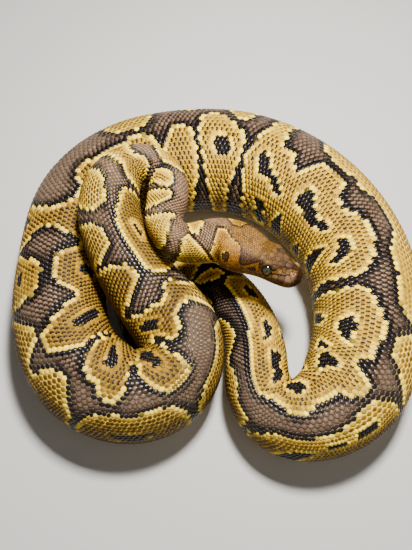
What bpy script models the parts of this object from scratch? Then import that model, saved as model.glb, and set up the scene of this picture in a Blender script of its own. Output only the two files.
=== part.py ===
"""Coiled ball python at life size, as a still museum model.

The animal is one long tube of changing width laid along a route: head in the
middle of the coil, a folded neck on top, one thick ring on the floor, and a
short tail tucked away inside. Each named length of the body is a solid of its
own. Units are metres, +Z is up, and the floor is at z = 0. The origin is the
middle of the coil's footprint, on the floor.
"""
import math

import bmesh
import bpy
import numpy as np
from mathutils import Vector

# ---------------------------------------------------------------- driving sizes
GAP = 0.0003             # clearance between two solids that meet
SIDES = 20               # flats round a length of body
STEP = 0.0005            # half the stretch over which a direction is measured
HEAD_SIDES = 24          # flats round the head
SECTION_POWER = 0.92     # 1 is an ellipse, less is a boxier section
HEAD_POWER = 0.86        # the head is boxier than the body
HEAD_LENGTH = 0.054      # snout tip to where the neck begins
SNOUT_ROUNDING = 0.008   # length over which the snout rounds off, seen from above
PROFILE_ROUNDING = 0.005 # the same, seen from the side
CHIN_SETBACK = 0.0012    # the lower jaw starts this far behind the snout tip
EYE_RADIUS = 0.0033
EYE_PLACE = (0.0193, 0.0083, 0.0030)   # behind the snout tip, sideways, up
JAW_CORNER = 0.041       # how far back the mouth reaches
BROW = (0.0185, 0.0065)  # the ridge over the eye: its middle and half length
BROW_LEAN = (0.90, 0.38) # its angle from the top of the head and half breadth
BROW_RISE = 0.09         # how much it lifts the surface, as a share

# The axis of the body from snout tip to tail tip:
# x, y, height, half width, half height, roll in degrees (+ leans to the right).
ROUTE = [
    (0.0472, -0.0203, 0.0520, 0.0030, 0.0030, -20),
    (0.0400, -0.0170, 0.0530, 0.0090, 0.0065, -20),
    (0.0310, -0.0118, 0.0540, 0.0125, 0.0095, -20),
    (0.0212, -0.0062, 0.0550, 0.0148, 0.0105, -20),
    (0.0115, -0.0008, 0.0550, 0.0153, 0.0115, -20),
    (0.0005, 0.0024, 0.0560, 0.0135, 0.0115, -16),
    (-0.0115, 0.0000, 0.0580, 0.0120, 0.0110, -10),
    (-0.0220, -0.0010, 0.0620, 0.0105, 0.0110, -4),
    (-0.0295, 0.0065, 0.0655, 0.0102, 0.0110, 0),
    (-0.0295, 0.0175, 0.0665, 0.0112, 0.0110, 0),
    (-0.0280, 0.0275, 0.0680, 0.0115, 0.0115, 0),
    (-0.0305, 0.0375, 0.0695, 0.0106, 0.0120, 0),
    (-0.0395, 0.0430, 0.0720, 0.0105, 0.0120, 0),
    (-0.0495, 0.0415, 0.0720, 0.0125, 0.0130, 0),
    (-0.0580, 0.0330, 0.0710, 0.0155, 0.0140, 0),
    (-0.0615, 0.0205, 0.0660, 0.0175, 0.0150, 0),
    (-0.0592, 0.0065, 0.0580, 0.0183, 0.0160, 0),
    (-0.0515, -0.0075, 0.0480, 0.0200, 0.0180, 0),
    (-0.0405, -0.0220, 0.0390, 0.0220, 0.0200, 0),
    (-0.0285, -0.0355, 0.0340, 0.0240, 0.0220, 0),
    (-0.0205, -0.0535, 0.0300, 0.0245, 0.0240, 0),
    (-0.0265, -0.0705, 0.0270, 0.0255, 0.0265, 0),
    (-0.0445, -0.0800, 0.0260, 0.0255, 0.0275, 0),
    (-0.0635, -0.0755, 0.0260, 0.0275, 0.0275, 0),
    (-0.0805, -0.0615, 0.0260, 0.0280, 0.0275, 0),
    (-0.0905, -0.0415, 0.0260, 0.0275, 0.0275, 0),
    (-0.0945, -0.0165, 0.0260, 0.0270, 0.0275, 0),
    (-0.0935, 0.0105, 0.0260, 0.0275, 0.0280, 0),
    (-0.0875, 0.0385, 0.0270, 0.0295, 0.0285, 0),
    (-0.0725, 0.0605, 0.0270, 0.0310, 0.0290, 0),
    (-0.0525, 0.0725, 0.0270, 0.0330, 0.0290, 0),
    (-0.0235, 0.0785, 0.0270, 0.0350, 0.0290, 0),
    (0.0095, 0.0785, 0.0270, 0.0350, 0.0290, 0),
    (0.0452, 0.0640, 0.0270, 0.0346, 0.0290, 0),
    (0.0717, 0.0368, 0.0270, 0.0341, 0.0290, 0),
    (0.0857, 0.0073, 0.0270, 0.0329, 0.0290, 0),
    (0.0895, -0.0235, 0.0270, 0.0320, 0.0290, 0),
    (0.0855, -0.0515, 0.0270, 0.0310, 0.0285, 0),
    (0.0735, -0.0765, 0.0260, 0.0295, 0.0275, 0),
    (0.0525, -0.0905, 0.0240, 0.0245, 0.0250, 0),
    (0.0345, -0.0885, 0.0210, 0.0210, 0.0220, 0),
    (0.0240, -0.0735, 0.0190, 0.0190, 0.0200, 0),
    (0.0230, -0.0545, 0.0180, 0.0180, 0.0190, 0),
    (0.0195, -0.0355, 0.0170, 0.0170, 0.0180, 0),
    (0.0115, -0.0185, 0.0160, 0.0155, 0.0170, 0),
    (-0.0005, -0.0045, 0.0140, 0.0135, 0.0150, 0),
    (-0.0165, 0.0035, 0.0120, 0.0115, 0.0130, 0),
    (-0.0315, 0.0055, 0.0105, 0.0100, 0.0110, 0),
    (-0.0445, -0.0010, 0.0095, 0.0090, 0.0100, 0),
    (-0.0525, -0.0125, 0.0085, 0.0080, 0.0090, 0),
    (-0.0545, -0.0255, 0.0074, 0.0068, 0.0078, 0),
    (-0.0515, -0.0375, 0.0060, 0.0054, 0.0062, 0),
    (-0.0465, -0.0465, 0.0044, 0.0034, 0.0042, 0),
]

# The head before its snout is rounded off: distance behind the snout tip,
# half width, crown height and jaw depth from the axis.
HEAD = [
    (0.000, 0.0074, 0.0054, 0.0054),
    (0.007, 0.0087, 0.0066, 0.0068),
    (0.013, 0.0097, 0.0078, 0.0077),
    (0.020, 0.0105, 0.0088, 0.0084),
    (0.026, 0.0121, 0.0094, 0.0090),
    (0.031, 0.0143, 0.0100, 0.0096),
    (0.036, 0.0160, 0.0105, 0.0102),
    (0.042, 0.0164, 0.0110, 0.0107),
    (0.048, 0.0152, 0.0113, 0.0110),
    (0.054, 0.0136, 0.0113, 0.0112),
    (0.062, 0.0125, 0.0112, 0.0112),
]
HEAD_BLEND = (0.050, 0.062)   # here the head's section becomes the neck's

# The line of the closed mouth: distance behind the snout tip, height.
MOUTH = [(-0.004, -0.0026), (0.004, -0.0030), (0.013, -0.0040), (0.022, -0.0036),
         (0.032, -0.0042), (JAW_CORNER, -0.0026)]

# Lengths of the body: name, start and end along the route, rings.
LENGTHS = [
    ("neck_front", 0.054, 0.102, 17),
    ("neck_loop", 0.102, 0.158, 20),
    ("trunk_rise", 0.158, 0.230, 11),
    ("trunk_turn_left_a", 0.230, 0.280, 9),
    ("trunk_turn_left_b", 0.280, 0.332, 9),
    ("trunk_left", 0.332, 0.422, 11),
    ("trunk_back_left", 0.422, 0.508, 11),
    ("trunk_back", 0.508, 0.596, 11),
    ("trunk_right", 0.596, 0.688, 11),
    ("trunk_front_right", 0.688, 0.758, 9),
    ("trunk_turn_right", 0.758, 0.822, 12),
    ("trunk_inner", 0.822, 0.902, 11),
    ("tail_base", 0.902, 0.946, 8),
    ("tail_tip", 0.946, None, 8),
]

# Colours of the plain solids: linear red, green, blue, then roughness.
FINISHES = {
    "scales_brown": ((0.110, 0.062, 0.036), 0.45),
    "scales_gold": ((0.420, 0.270, 0.090), 0.45),
    "eye": ((0.020, 0.024, 0.020), 0.12),
}


# ---------------------------------------------------------------- the route
def natural_spline(knots):
    """Return a function that gives every column of knots at a distance."""
    knots = np.asarray(knots, float)
    steps = np.linalg.norm(np.diff(knots[:, :3], axis=0), axis=1)
    at = np.concatenate([[0.0], np.cumsum(steps)])
    return spline_over(at, knots), at[-1]


def spline_over(at, values):
    """Natural cubic spline through values placed at distances."""
    at = np.asarray(at, float)
    values = np.asarray(values, float)
    count = len(at)
    span = np.diff(at)
    matrix = np.zeros((count, count))
    right = np.zeros_like(values)
    matrix[0, 0] = matrix[-1, -1] = 1.0
    for i in range(1, count - 1):
        matrix[i, i - 1:i + 2] = span[i - 1], 2 * (span[i - 1] + span[i]), span[i]
        slope_after = (values[i + 1] - values[i]) / span[i]
        slope_before = (values[i] - values[i - 1]) / span[i - 1]
        right[i] = 6 * (slope_after - slope_before)
    bend = np.linalg.solve(matrix, right)

    def read(s):
        i = int(np.clip(np.searchsorted(at, s, side="right") - 1, 0, count - 2))
        after, before, h = s - at[i], at[i + 1] - s, span[i]
        curve = (bend[i] * before ** 3 + bend[i + 1] * after ** 3) / (6 * h)
        return (curve + (values[i] / h - bend[i] * h / 6) * before
                + (values[i + 1] / h - bend[i + 1] * h / 6) * after)

    return read


body_at, BODY_LENGTH = natural_spline(ROUTE)
head_at = spline_over([row[0] for row in HEAD], [row[1:] for row in HEAD])


def frame_at(s):
    """Axis point and the right, up and forward-to-tail directions there."""
    here = body_at(s)
    inside = min(max(s, STEP), BODY_LENGTH - STEP)
    along = Vector(body_at(inside + STEP)[:3] - body_at(inside - STEP)[:3])
    along.normalize()
    right = Vector((0, 0, 1)).cross(along).normalized()
    up = along.cross(right)
    roll = math.radians(here[5])
    right_rolled = right * math.cos(roll) - up * math.sin(roll)
    up_rolled = up * math.cos(roll) + right * math.sin(roll)
    return Vector(here[:3]), right_rolled, up_rolled, along


def place(s, sideways, height):
    """A point given along, beside and above the axis."""
    centre, right, up, _ = frame_at(s)
    return centre + right * sideways + up * height


# ---------------------------------------------------------------- the sections
def rounded(s, over):
    """Rises from 0 at the snout tip to 1, like the end of a superellipse."""
    part = 1 - min(max(s, 0.0), over) / over
    return (1 - part ** 2.3) ** (1 / 2.3)


def section_sizes(s):
    """Half width, height above, depth below and section power at s."""
    here = body_at(s)
    neck = (here[3], here[4], here[4])
    start, end = HEAD_BLEND
    if s >= end:
        return (*neck, SECTION_POWER)
    width, crown, jaw = head_at(s)
    half_width = width * rounded(s, SNOUT_ROUNDING)
    above = crown * rounded(s, PROFILE_ROUNDING)
    below = jaw * rounded(s - CHIN_SETBACK, PROFILE_ROUNDING)
    head = (half_width, above, below)
    share = min(max((s - start) / (end - start), 0.0), 1.0)
    share = share * share * (3 - 2 * share)
    mixed = [a + (b - a) * share for a, b in zip(head, neck)]
    return (*mixed, HEAD_POWER + (SECTION_POWER - HEAD_POWER) * share)


def brow(s, angle):
    """Swelling of the ridges over the eyes, 1 where there is none."""
    along = (s - BROW[0]) / BROW[1]
    round_it = (abs(angle) - BROW_LEAN[0]) / BROW_LEAN[1]
    return 1 + BROW_RISE * math.exp(-along * along - round_it * round_it)


def ring(s, sides):
    """Points round the body at s, from the belly up the left side and over."""
    centre, right, up, _ = frame_at(s)
    half_width, above, below, power = section_sizes(s)
    points = []
    for k in range(sides):
        angle = -math.pi + 2 * math.pi * k / sides
        sine, cosine = math.sin(angle), math.cos(angle)
        sideways = half_width * math.copysign(abs(sine) ** power, sine)
        height = math.copysign(abs(cosine) ** power, cosine)
        height *= above if cosine > 0 else below
        point = centre + (right * sideways + up * height) * brow(s, angle)
        point.z = max(point.z, 0.0)
        points.append(point)
    return points


# ---------------------------------------------------------------- making solids
def finish(name):
    """The material of one finish, made once."""
    material = bpy.data.materials.get(name)
    if material is None:
        colour, roughness = FINISHES[name]
        material = bpy.data.materials.new(name)
        material.use_nodes = True
        shader = material.node_tree.nodes["Principled BSDF"]
        shader.inputs["Base Color"].default_value = (*colour, 1.0)
        shader.inputs["Roughness"].default_value = roughness
        shader.inputs["Metallic"].default_value = 0.0
    return material


def new_object(name, bm, finish_name, smooth=True):
    """Turn a bmesh into a named object with its normals facing out."""
    bmesh.ops.recalc_face_normals(bm, faces=bm.faces)
    mesh = bpy.data.meshes.new(name)
    bm.to_mesh(mesh)
    bm.free()
    mesh.materials.append(finish(finish_name))
    if smooth:
        mesh.shade_smooth()
        mesh.set_sharp_from_angle(angle=math.radians(50))
    obj = bpy.data.objects.new(name, mesh)
    bpy.context.collection.objects.link(obj)
    return obj


def loft(places, sides, closed_tip=None):
    """A tube of rings at the given places, with flat ends or a pointed tip."""
    bm = bmesh.new()
    rings = [[bm.verts.new(p) for p in ring(s, sides)] for s in places]
    for first, second in zip(rings, rings[1:]):
        for k in range(sides):
            n = (k + 1) % sides
            bm.faces.new((first[k], first[n], second[n], second[k]))
    if closed_tip is None:
        bm.faces.new(rings[0])
    else:
        tip = bm.verts.new(closed_tip)
        for k in range(sides):
            bm.faces.new((rings[0][k], rings[0][(k + 1) % sides], tip))
    bm.faces.new(rings[-1])
    return bm


def prism(outline, half_depth):
    """A closed block: an outline along and above the axis, cut across the head."""
    bm = bmesh.new()
    sides = [[bm.verts.new(place(s, side * half_depth, z)) for s, z in outline]
             for side in (-1, 1)]
    for k in range(len(outline)):
        n = (k + 1) % len(outline)
        bm.faces.new((sides[0][k], sides[0][n], sides[1][n], sides[1][k]))
    bm.faces.new(sides[0])
    bm.faces.new(sides[1])
    return bm


def cutter(obj):
    """Mark an object as a tool that is no part of the model."""
    obj.hide_render = True
    obj.display_type = "WIRE"
    return obj


def cut(obj, tool, operation):
    """Exact Boolean of a solid with a tool."""
    modifier = obj.modifiers.new(tool.name, "BOOLEAN")
    modifier.operation = operation
    modifier.solver = "EXACT"
    modifier.object = tool


# ---------------------------------------------------------------- the head
def head_places():
    """Rings of the head, close together at the snout."""
    snout = [SNOUT_ROUNDING * (k / 6) ** 1.8 for k in range(1, 7)]
    rest = np.linspace(SNOUT_ROUNDING, HEAD_LENGTH - GAP / 2, 15)[1:]
    return snout + [float(s) for s in rest]


def mouth_block(name, drop):
    """The space of the lower jaw: everything below the mouth line."""
    top = [(s, z - drop) for s, z in MOUTH]
    top[-1] = (JAW_CORNER - drop, MOUTH[-1][1] - drop)
    below = -0.03
    outline = top + [(JAW_CORNER - drop, below), (MOUTH[0][0], below)]
    return cutter(new_object(name, prism(outline, 0.03), "eye", smooth=False))


def ball(name, centre, radius, segments, rings, finish_name):
    """A sphere, used for an eye and for its socket."""
    bm = bmesh.new()
    bmesh.ops.create_uvsphere(bm, u_segments=segments, v_segments=rings, radius=radius)
    bmesh.ops.translate(bm, verts=bm.verts, vec=centre)
    return new_object(name, bm, finish_name)


def build_head():
    """Cranium with eye sockets, lower jaw below the mouth line, two eyes."""
    tip = place(0.0, 0.0, 0.0)
    head = new_object("head", loft(head_places(), HEAD_SIDES, tip), "scales_brown")
    jaw = new_object("lower_jaw", loft(head_places(), HEAD_SIDES, tip), "scales_gold")
    cut(head, mouth_block("mouth_space", 0.0), "DIFFERENCE")
    cut(jaw, mouth_block("jaw_space", GAP), "INTERSECT")
    along, sideways, height = EYE_PLACE
    for side, hand in (("left", -1), ("right", 1)):
        centre = place(along, hand * sideways, height)
        ball("eye_" + side, centre, EYE_RADIUS, 16, 10, "eye")
        socket = ball("socket_" + side, centre, EYE_RADIUS + GAP, 16, 10, "eye")
        cut(head, cutter(socket), "DIFFERENCE")


# ---------------------------------------------------------------- the body
def build_length(index, name, start, end, rings):
    """One length of neck, trunk or tail, a little short of its neighbours."""
    last = end is None
    stop = BODY_LENGTH if last else end - GAP / 2
    places = [float(s) for s in np.linspace(start + GAP / 2, stop, rings)]
    finish_name = "scales_brown" if index % 2 else "scales_gold"
    new_object(name, loft(places, SIDES), finish_name)


def build():
    """The whole animal."""
    for obj in list(bpy.data.objects):
        bpy.data.objects.remove(obj, do_unlink=True)
    build_head()
    for index, (name, start, end, rings) in enumerate(LENGTHS):
        build_length(index, name, start, end, rings)


build()
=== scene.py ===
# %% [markdown]
# # A coiled ball python, built scale by scale
#
# The solid model of the snake is already there: a long tube of changing width
# on a route, cut into named lengths. This lesson dresses it. One skin lies just
# inside the solids, and over it go some fourteen thousand small overlapping
# scales, which carry the gold and black markings.

# %% Load the solid model
import math

import bpy
import numpy as np
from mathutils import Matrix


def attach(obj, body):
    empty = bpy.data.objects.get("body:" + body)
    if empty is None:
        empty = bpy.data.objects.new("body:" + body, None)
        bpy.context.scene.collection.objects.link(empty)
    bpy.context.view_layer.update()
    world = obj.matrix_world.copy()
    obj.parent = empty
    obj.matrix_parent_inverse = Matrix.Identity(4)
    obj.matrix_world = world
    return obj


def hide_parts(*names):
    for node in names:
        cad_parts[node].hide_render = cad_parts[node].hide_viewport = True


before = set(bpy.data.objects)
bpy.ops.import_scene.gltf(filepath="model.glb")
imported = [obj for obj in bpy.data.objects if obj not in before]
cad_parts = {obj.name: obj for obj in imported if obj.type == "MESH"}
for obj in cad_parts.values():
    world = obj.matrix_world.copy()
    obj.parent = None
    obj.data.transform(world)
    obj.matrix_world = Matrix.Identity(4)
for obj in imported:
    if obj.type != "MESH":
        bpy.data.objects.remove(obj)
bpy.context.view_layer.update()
BODY = "root"

# %% [markdown]
# ## Where the animal lies
#
# The body follows a smooth curve through points that were set and then adjusted,
# each with its half width, half height and roll. The same points made the
# solids. A natural cubic spline joins them, because it has no kinks and bends
# as a spine does.
# Every place on the animal is then two numbers: how far it is behind the snout
# tip, and how far round the body, with 0 on the back and plus to the right.

# %% The route, in metres
# x, y, height, half width, half height, roll in degrees
ROUTE = np.array([
    (0.0472, -0.0203, 0.0520, 0.0030, 0.0030, -20), (0.0400, -0.0170, 0.0530, 0.0090, 0.0065, -20),
    (0.0310, -0.0118, 0.0540, 0.0125, 0.0095, -20), (0.0212, -0.0062, 0.0550, 0.0148, 0.0105, -20),
    (0.0115, -0.0008, 0.0550, 0.0153, 0.0115, -20), (0.0005, 0.0024, 0.0560, 0.0135, 0.0115, -16),
    (-0.0115, 0.0000, 0.0580, 0.0120, 0.0110, -10), (-0.0220, -0.0010, 0.0620, 0.0105, 0.0110, -4),
    (-0.0295, 0.0065, 0.0655, 0.0102, 0.0110, 0), (-0.0295, 0.0175, 0.0665, 0.0112, 0.0110, 0),
    (-0.0280, 0.0275, 0.0680, 0.0115, 0.0115, 0), (-0.0305, 0.0375, 0.0695, 0.0106, 0.0120, 0),
    (-0.0395, 0.0430, 0.0720, 0.0105, 0.0120, 0), (-0.0495, 0.0415, 0.0720, 0.0125, 0.0130, 0),
    (-0.0580, 0.0330, 0.0710, 0.0155, 0.0140, 0), (-0.0615, 0.0205, 0.0660, 0.0175, 0.0150, 0),
    (-0.0592, 0.0065, 0.0580, 0.0183, 0.0160, 0), (-0.0515, -0.0075, 0.0480, 0.0200, 0.0180, 0),
    (-0.0405, -0.0220, 0.0390, 0.0220, 0.0200, 0), (-0.0285, -0.0355, 0.0340, 0.0240, 0.0220, 0),
    (-0.0205, -0.0535, 0.0300, 0.0245, 0.0240, 0), (-0.0265, -0.0705, 0.0270, 0.0255, 0.0265, 0),
    (-0.0445, -0.0800, 0.0260, 0.0255, 0.0275, 0), (-0.0635, -0.0755, 0.0260, 0.0275, 0.0275, 0),
    (-0.0805, -0.0615, 0.0260, 0.0280, 0.0275, 0), (-0.0905, -0.0415, 0.0260, 0.0275, 0.0275, 0),
    (-0.0945, -0.0165, 0.0260, 0.0270, 0.0275, 0), (-0.0935, 0.0105, 0.0260, 0.0275, 0.0280, 0),
    (-0.0875, 0.0385, 0.0270, 0.0295, 0.0285, 0), (-0.0725, 0.0605, 0.0270, 0.0310, 0.0290, 0),
    (-0.0525, 0.0725, 0.0270, 0.0330, 0.0290, 0), (-0.0235, 0.0785, 0.0270, 0.0350, 0.0290, 0),
    (0.0095, 0.0785, 0.0270, 0.0350, 0.0290, 0), (0.0452, 0.0640, 0.0270, 0.0346, 0.0290, 0),
    (0.0717, 0.0368, 0.0270, 0.0341, 0.0290, 0), (0.0857, 0.0073, 0.0270, 0.0329, 0.0290, 0),
    (0.0895, -0.0235, 0.0270, 0.0320, 0.0290, 0), (0.0855, -0.0515, 0.0270, 0.0310, 0.0285, 0),
    (0.0735, -0.0765, 0.0260, 0.0295, 0.0275, 0), (0.0525, -0.0905, 0.0240, 0.0245, 0.0250, 0),
    (0.0345, -0.0885, 0.0210, 0.0210, 0.0220, 0), (0.0240, -0.0735, 0.0190, 0.0190, 0.0200, 0),
    (0.0230, -0.0545, 0.0180, 0.0180, 0.0190, 0), (0.0195, -0.0355, 0.0170, 0.0170, 0.0180, 0),
    (0.0115, -0.0185, 0.0160, 0.0155, 0.0170, 0), (-0.0005, -0.0045, 0.0140, 0.0135, 0.0150, 0),
    (-0.0165, 0.0035, 0.0120, 0.0115, 0.0130, 0), (-0.0315, 0.0055, 0.0105, 0.0100, 0.0110, 0),
    (-0.0445, -0.0010, 0.0095, 0.0090, 0.0100, 0), (-0.0525, -0.0125, 0.0085, 0.0080, 0.0090, 0),
    (-0.0545, -0.0255, 0.0074, 0.0068, 0.0078, 0), (-0.0515, -0.0375, 0.0060, 0.0054, 0.0062, 0),
    (-0.0465, -0.0465, 0.0044, 0.0034, 0.0042, 0),
])

# The head before its snout is rounded off: distance behind the snout tip,
# half width, crown height and jaw depth from the axis.
HEAD = np.array([
    (0.000, 0.0074, 0.0054, 0.0054), (0.007, 0.0087, 0.0066, 0.0068), (0.013, 0.0097, 0.0078, 0.0077),
    (0.020, 0.0105, 0.0088, 0.0084), (0.026, 0.0121, 0.0094, 0.0090), (0.031, 0.0143, 0.0100, 0.0096),
    (0.036, 0.0160, 0.0105, 0.0102), (0.042, 0.0164, 0.0110, 0.0107), (0.048, 0.0152, 0.0113, 0.0110),
    (0.054, 0.0136, 0.0113, 0.0112), (0.062, 0.0125, 0.0112, 0.0112),
])
HEAD_BLEND = (0.050, 0.062)      # here the head's section becomes the neck's
SNOUT_ROUNDING, PROFILE_ROUNDING, CHIN_SETBACK = 0.008, 0.005, 0.0012
SNOUT_POWER = 2.3                # 2 would round the snout off as an ellipse
SECTION_POWER, HEAD_POWER = 0.92, 0.86
BROW, BROW_LEAN, BROW_RISE = (0.0185, 0.0065), (0.90, 0.38), 0.09
EYE_RADIUS = 0.0033
EYE_PLACE = (0.0193, 0.0083, 0.0030)
STEP = 0.0005                    # half the stretch over which a direction is measured


def natural_spline(at, values):
    """A smooth curve through values placed at distances, read at many places at once."""
    span, count = np.diff(at), len(at)
    matrix, right = np.zeros((count, count)), np.zeros_like(values)
    matrix[0, 0] = matrix[-1, -1] = 1.0
    slope = np.diff(values, axis=0) / span[:, None]
    for i in range(1, count - 1):
        matrix[i, i - 1:i + 2] = span[i - 1], 2 * (span[i - 1] + span[i]), span[i]
        right[i] = 6 * (slope[i] - slope[i - 1])
    bend = np.linalg.solve(matrix, right)

    def read(s):
        i = np.clip(np.searchsorted(at, s, side="right") - 1, 0, count - 2)
        after, before, h = (s - at[i])[:, None], (at[i + 1] - s)[:, None], span[i][:, None]
        curve = (bend[i] * before ** 3 + bend[i + 1] * after ** 3) / (6 * h)
        return (curve + (values[i] / h - bend[i] * h / 6) * before
                + (values[i + 1] / h - bend[i + 1] * h / 6) * after)

    return read


gaps = np.linalg.norm(np.diff(ROUTE[:, :3], axis=0), axis=1)
route_at = np.concatenate([[0.0], np.cumsum(gaps)])
LENGTH = route_at[-1]
body_at = natural_spline(route_at, ROUTE)
head_at = natural_spline(HEAD[:, 0], HEAD[:, 1:])
print("the snake is", round(LENGTH, 3), "m long")

# %% [markdown]
# ## The surface of the body
#
# A ring round the body is a superellipse: an ellipse, made a little boxier.
# One function turns (distance, angle) into a point on the solid's surface, and
# a second one finds the outward direction there from small steps both ways.
# Skin, scales and belly plates all use these two, so nothing needs fitting.

# %% From two numbers to a point
COAT_SHARE, COAT_FROM = 0.019, 0.03   # the skin's depth, of the half width, even ahead of here
FLOOR_GAP, FLOOR_SHARE = 0.00015, 0.4   # under the belly, and how much of a lift is kept there


def unit(vectors):
    """The same directions, one long."""
    return vectors / np.maximum(np.linalg.norm(vectors, axis=-1, keepdims=True), 1e-12)


def smooth(low, high, value):
    """0 below low, 1 above high, and a soft step between."""
    share = np.clip((value - low) / (high - low), 0, 1)
    return share * share * (3 - 2 * share)


def rounded(s, over):
    """0 at the snout tip, 1 from `over` on, like the end of a superellipse."""
    return (1 - (1 - np.clip(s, 0, over) / over) ** SNOUT_POWER) ** (1 / SNOUT_POWER)


def axis_frame(s):
    """Axis point, right and up directions, and half width and height, at s."""
    here = body_at(s)
    inside = np.clip(s, STEP, LENGTH - STEP)
    along = unit(body_at(inside + STEP)[:, :3] - body_at(inside - STEP)[:, :3])
    right = unit(np.cross((0, 0, 1.0), along))
    up = np.cross(along, right)
    roll = np.radians(here[:, 5])[:, None]
    return (here[:, :3], right * np.cos(roll) - up * np.sin(roll),
            up * np.cos(roll) + right * np.sin(roll), here[:, 3], here[:, 4])


def section_sizes(s, wide, tall):
    """Half width, height above, depth below and section power at s."""
    width, crown, jaw = head_at(np.clip(s, 0, HEAD[-1, 0])).T
    head = (width * rounded(s, SNOUT_ROUNDING), crown * rounded(s, PROFILE_ROUNDING),
            jaw * rounded(s - CHIN_SETBACK, PROFILE_ROUNDING), HEAD_POWER)
    share = smooth(*HEAD_BLEND, s)
    return [a + (b - a) * share for a, b in zip(head, (wide, tall, tall, SECTION_POWER))]


def solid_point(s, angle):
    """The point of the solid's surface at (s, angle)."""
    centre, right, up, wide, tall = axis_frame(s)
    half_width, above, below, power = section_sizes(s, wide, tall)
    sine, cosine = np.sin(angle), np.cos(angle)
    sideways = half_width * np.sign(sine) * np.abs(sine) ** power
    height = np.where(cosine > 0, above, below) * np.sign(cosine) * np.abs(cosine) ** power
    along_brow = (s - BROW[0]) / BROW[1]
    round_brow = (np.abs(angle) - BROW_LEAN[0]) / BROW_LEAN[1]
    swell = 1 + BROW_RISE * np.exp(-along_brow ** 2 - round_brow ** 2)
    point = centre + (right * sideways[:, None] + up * height[:, None]) * swell[:, None]
    point[:, 2] = np.maximum(point[:, 2], 0)
    return point


def outward(s, angle, ds=0.0004, da=0.012):
    """The outward direction, and how much the surface is stretched along the body."""
    s_low, s_high = np.clip(s - ds, 1e-5, LENGTH), np.clip(s + ds, 1e-5, LENGTH)
    along = solid_point(s_high, angle) - solid_point(s_low, angle)
    around = solid_point(s, angle + da) - solid_point(s, angle - da)
    stretch = np.linalg.norm(along, axis=1) / np.maximum(s_high - s_low, 1e-9)
    normal = np.cross(around, along)
    radial = solid_point(s, angle) - axis_frame(s)[0]
    side = np.sign((normal * radial).sum(1))
    return unit(normal * np.where(side == 0, 1, side)[:, None]), stretch


def coat_depth(s):
    """How far the skin lies inside the solid, to leave room for the scales."""
    return COAT_SHARE * body_at(np.clip(s, COAT_FROM, LENGTH))[:, 3]


def skin_point(s, angle, lift):
    """A point `lift` above the skin, and never in the floor."""
    normal, _ = outward(s, angle)
    point = solid_point(s, angle) + normal * (lift - coat_depth(s))[:, None]
    point[:, 2] = np.maximum(point[:, 2], FLOOR_GAP + FLOOR_SHARE * np.clip(lift, 0, 1))
    return point


print("widest ring:", round(float(ROUTE[:, 3].max() * 2000), 1), "mm")

# %% [markdown]
# ## Camera, light and floor
#
# The animal is seen from above and in front, a good third of a metre away. A
# small bright lamp behind and above draws a dot of light on every dark scale.
# A broad, weak one in front and a dim sky fill the shadows on a pale floor.

# %% Camera, light and floor
CAMERA_AT, CAMERA_LOOKS_AT = (-0.0065, -0.158107, 0.353833), (-0.0065, -0.0085, 0.033)
FILM_HEIGHT, LENS = 36.0, 38.62
LAMPS_FACE = (0, 0, 0.03)
SKY_COLOUR, SKY_STRENGTH = (1.0, 0.98, 0.96), 0.15
FLOOR_SIZE, FLOOR_LEVEL, FLOOR_COLOUR = 6, -0.0002, (0.50, 0.49, 0.47)


def turned_to(place, target):
    """The turn of a camera or lamp that stands at a place and faces a target."""
    x, y, z = np.subtract(place, target)
    return (math.atan2(math.hypot(x, y), z), 0, math.atan2(x, -y))


def add_camera():
    """A camera with the film upright, which sees the whole coil."""
    bpy.ops.object.camera_add(location=CAMERA_AT)
    camera = bpy.context.object
    camera.name = "camera"
    camera.rotation_euler = turned_to(CAMERA_AT, CAMERA_LOOKS_AT)
    camera.data.sensor_fit = "VERTICAL"
    camera.data.sensor_height = FILM_HEIGHT
    camera.data.lens = LENS
    camera.data.clip_start = 0.01
    bpy.context.scene.camera = camera


def add_lamp(name, place, size, power, colour):
    """A square soft lamp at a place, facing the animal."""
    bpy.ops.object.light_add(type="AREA", location=place)
    lamp = bpy.context.object
    lamp.name = name
    lamp.rotation_euler = turned_to(place, LAMPS_FACE)
    lamp.data.size = size
    lamp.data.energy = power
    lamp.data.color = colour


def new_material(name):
    """A material with its nodes, its links and its shader, ready to be filled in."""
    material = bpy.data.materials.new(name)
    material.use_nodes = True
    tree = material.node_tree
    return material, tree.nodes, tree.links, tree.nodes["Principled BSDF"]


def floor_finish():
    """Plain and pale, without gloss."""
    material, _, _, shader = new_material("pale_floor")
    shader.inputs["Base Color"].default_value = (*FLOOR_COLOUR, 1)
    shader.inputs["Roughness"].default_value = 0.8
    return material


add_camera()
add_lamp("lamp_above", (0.07, 0.12, 0.54), 0.08, 9.8, (1.0, 0.97, 0.93))
add_lamp("lamp_front", (0.20, -0.25, 0.70), 0.45, 0.4, (1.0, 0.98, 0.96))
world = bpy.data.worlds.new("studio")
world.use_nodes = True
sky = world.node_tree.nodes["Background"].inputs
sky["Color"].default_value = (*SKY_COLOUR, 1)
sky["Strength"].default_value = SKY_STRENGTH
bpy.context.scene.world = world
bpy.ops.mesh.primitive_plane_add(size=FLOOR_SIZE, location=(0, 0, FLOOR_LEVEL))
floor = bpy.context.object
floor.name = "floor"
floor.data.materials.append(floor_finish())
print("camera, two lamps and a floor")

# %% [markdown]
# ## The markings
#
# Gold lobes reach up from the belly on both sides of a dark back. They could be
# painted as an image, but an outline stays sharp at any size, and skin and
# scales can share it. Each lobe is an outline in body numbers: millimetres
# behind the snout tip and degrees round from the back, minus on the left. A
# lobe that runs on under the body ends well past the flank.

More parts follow.
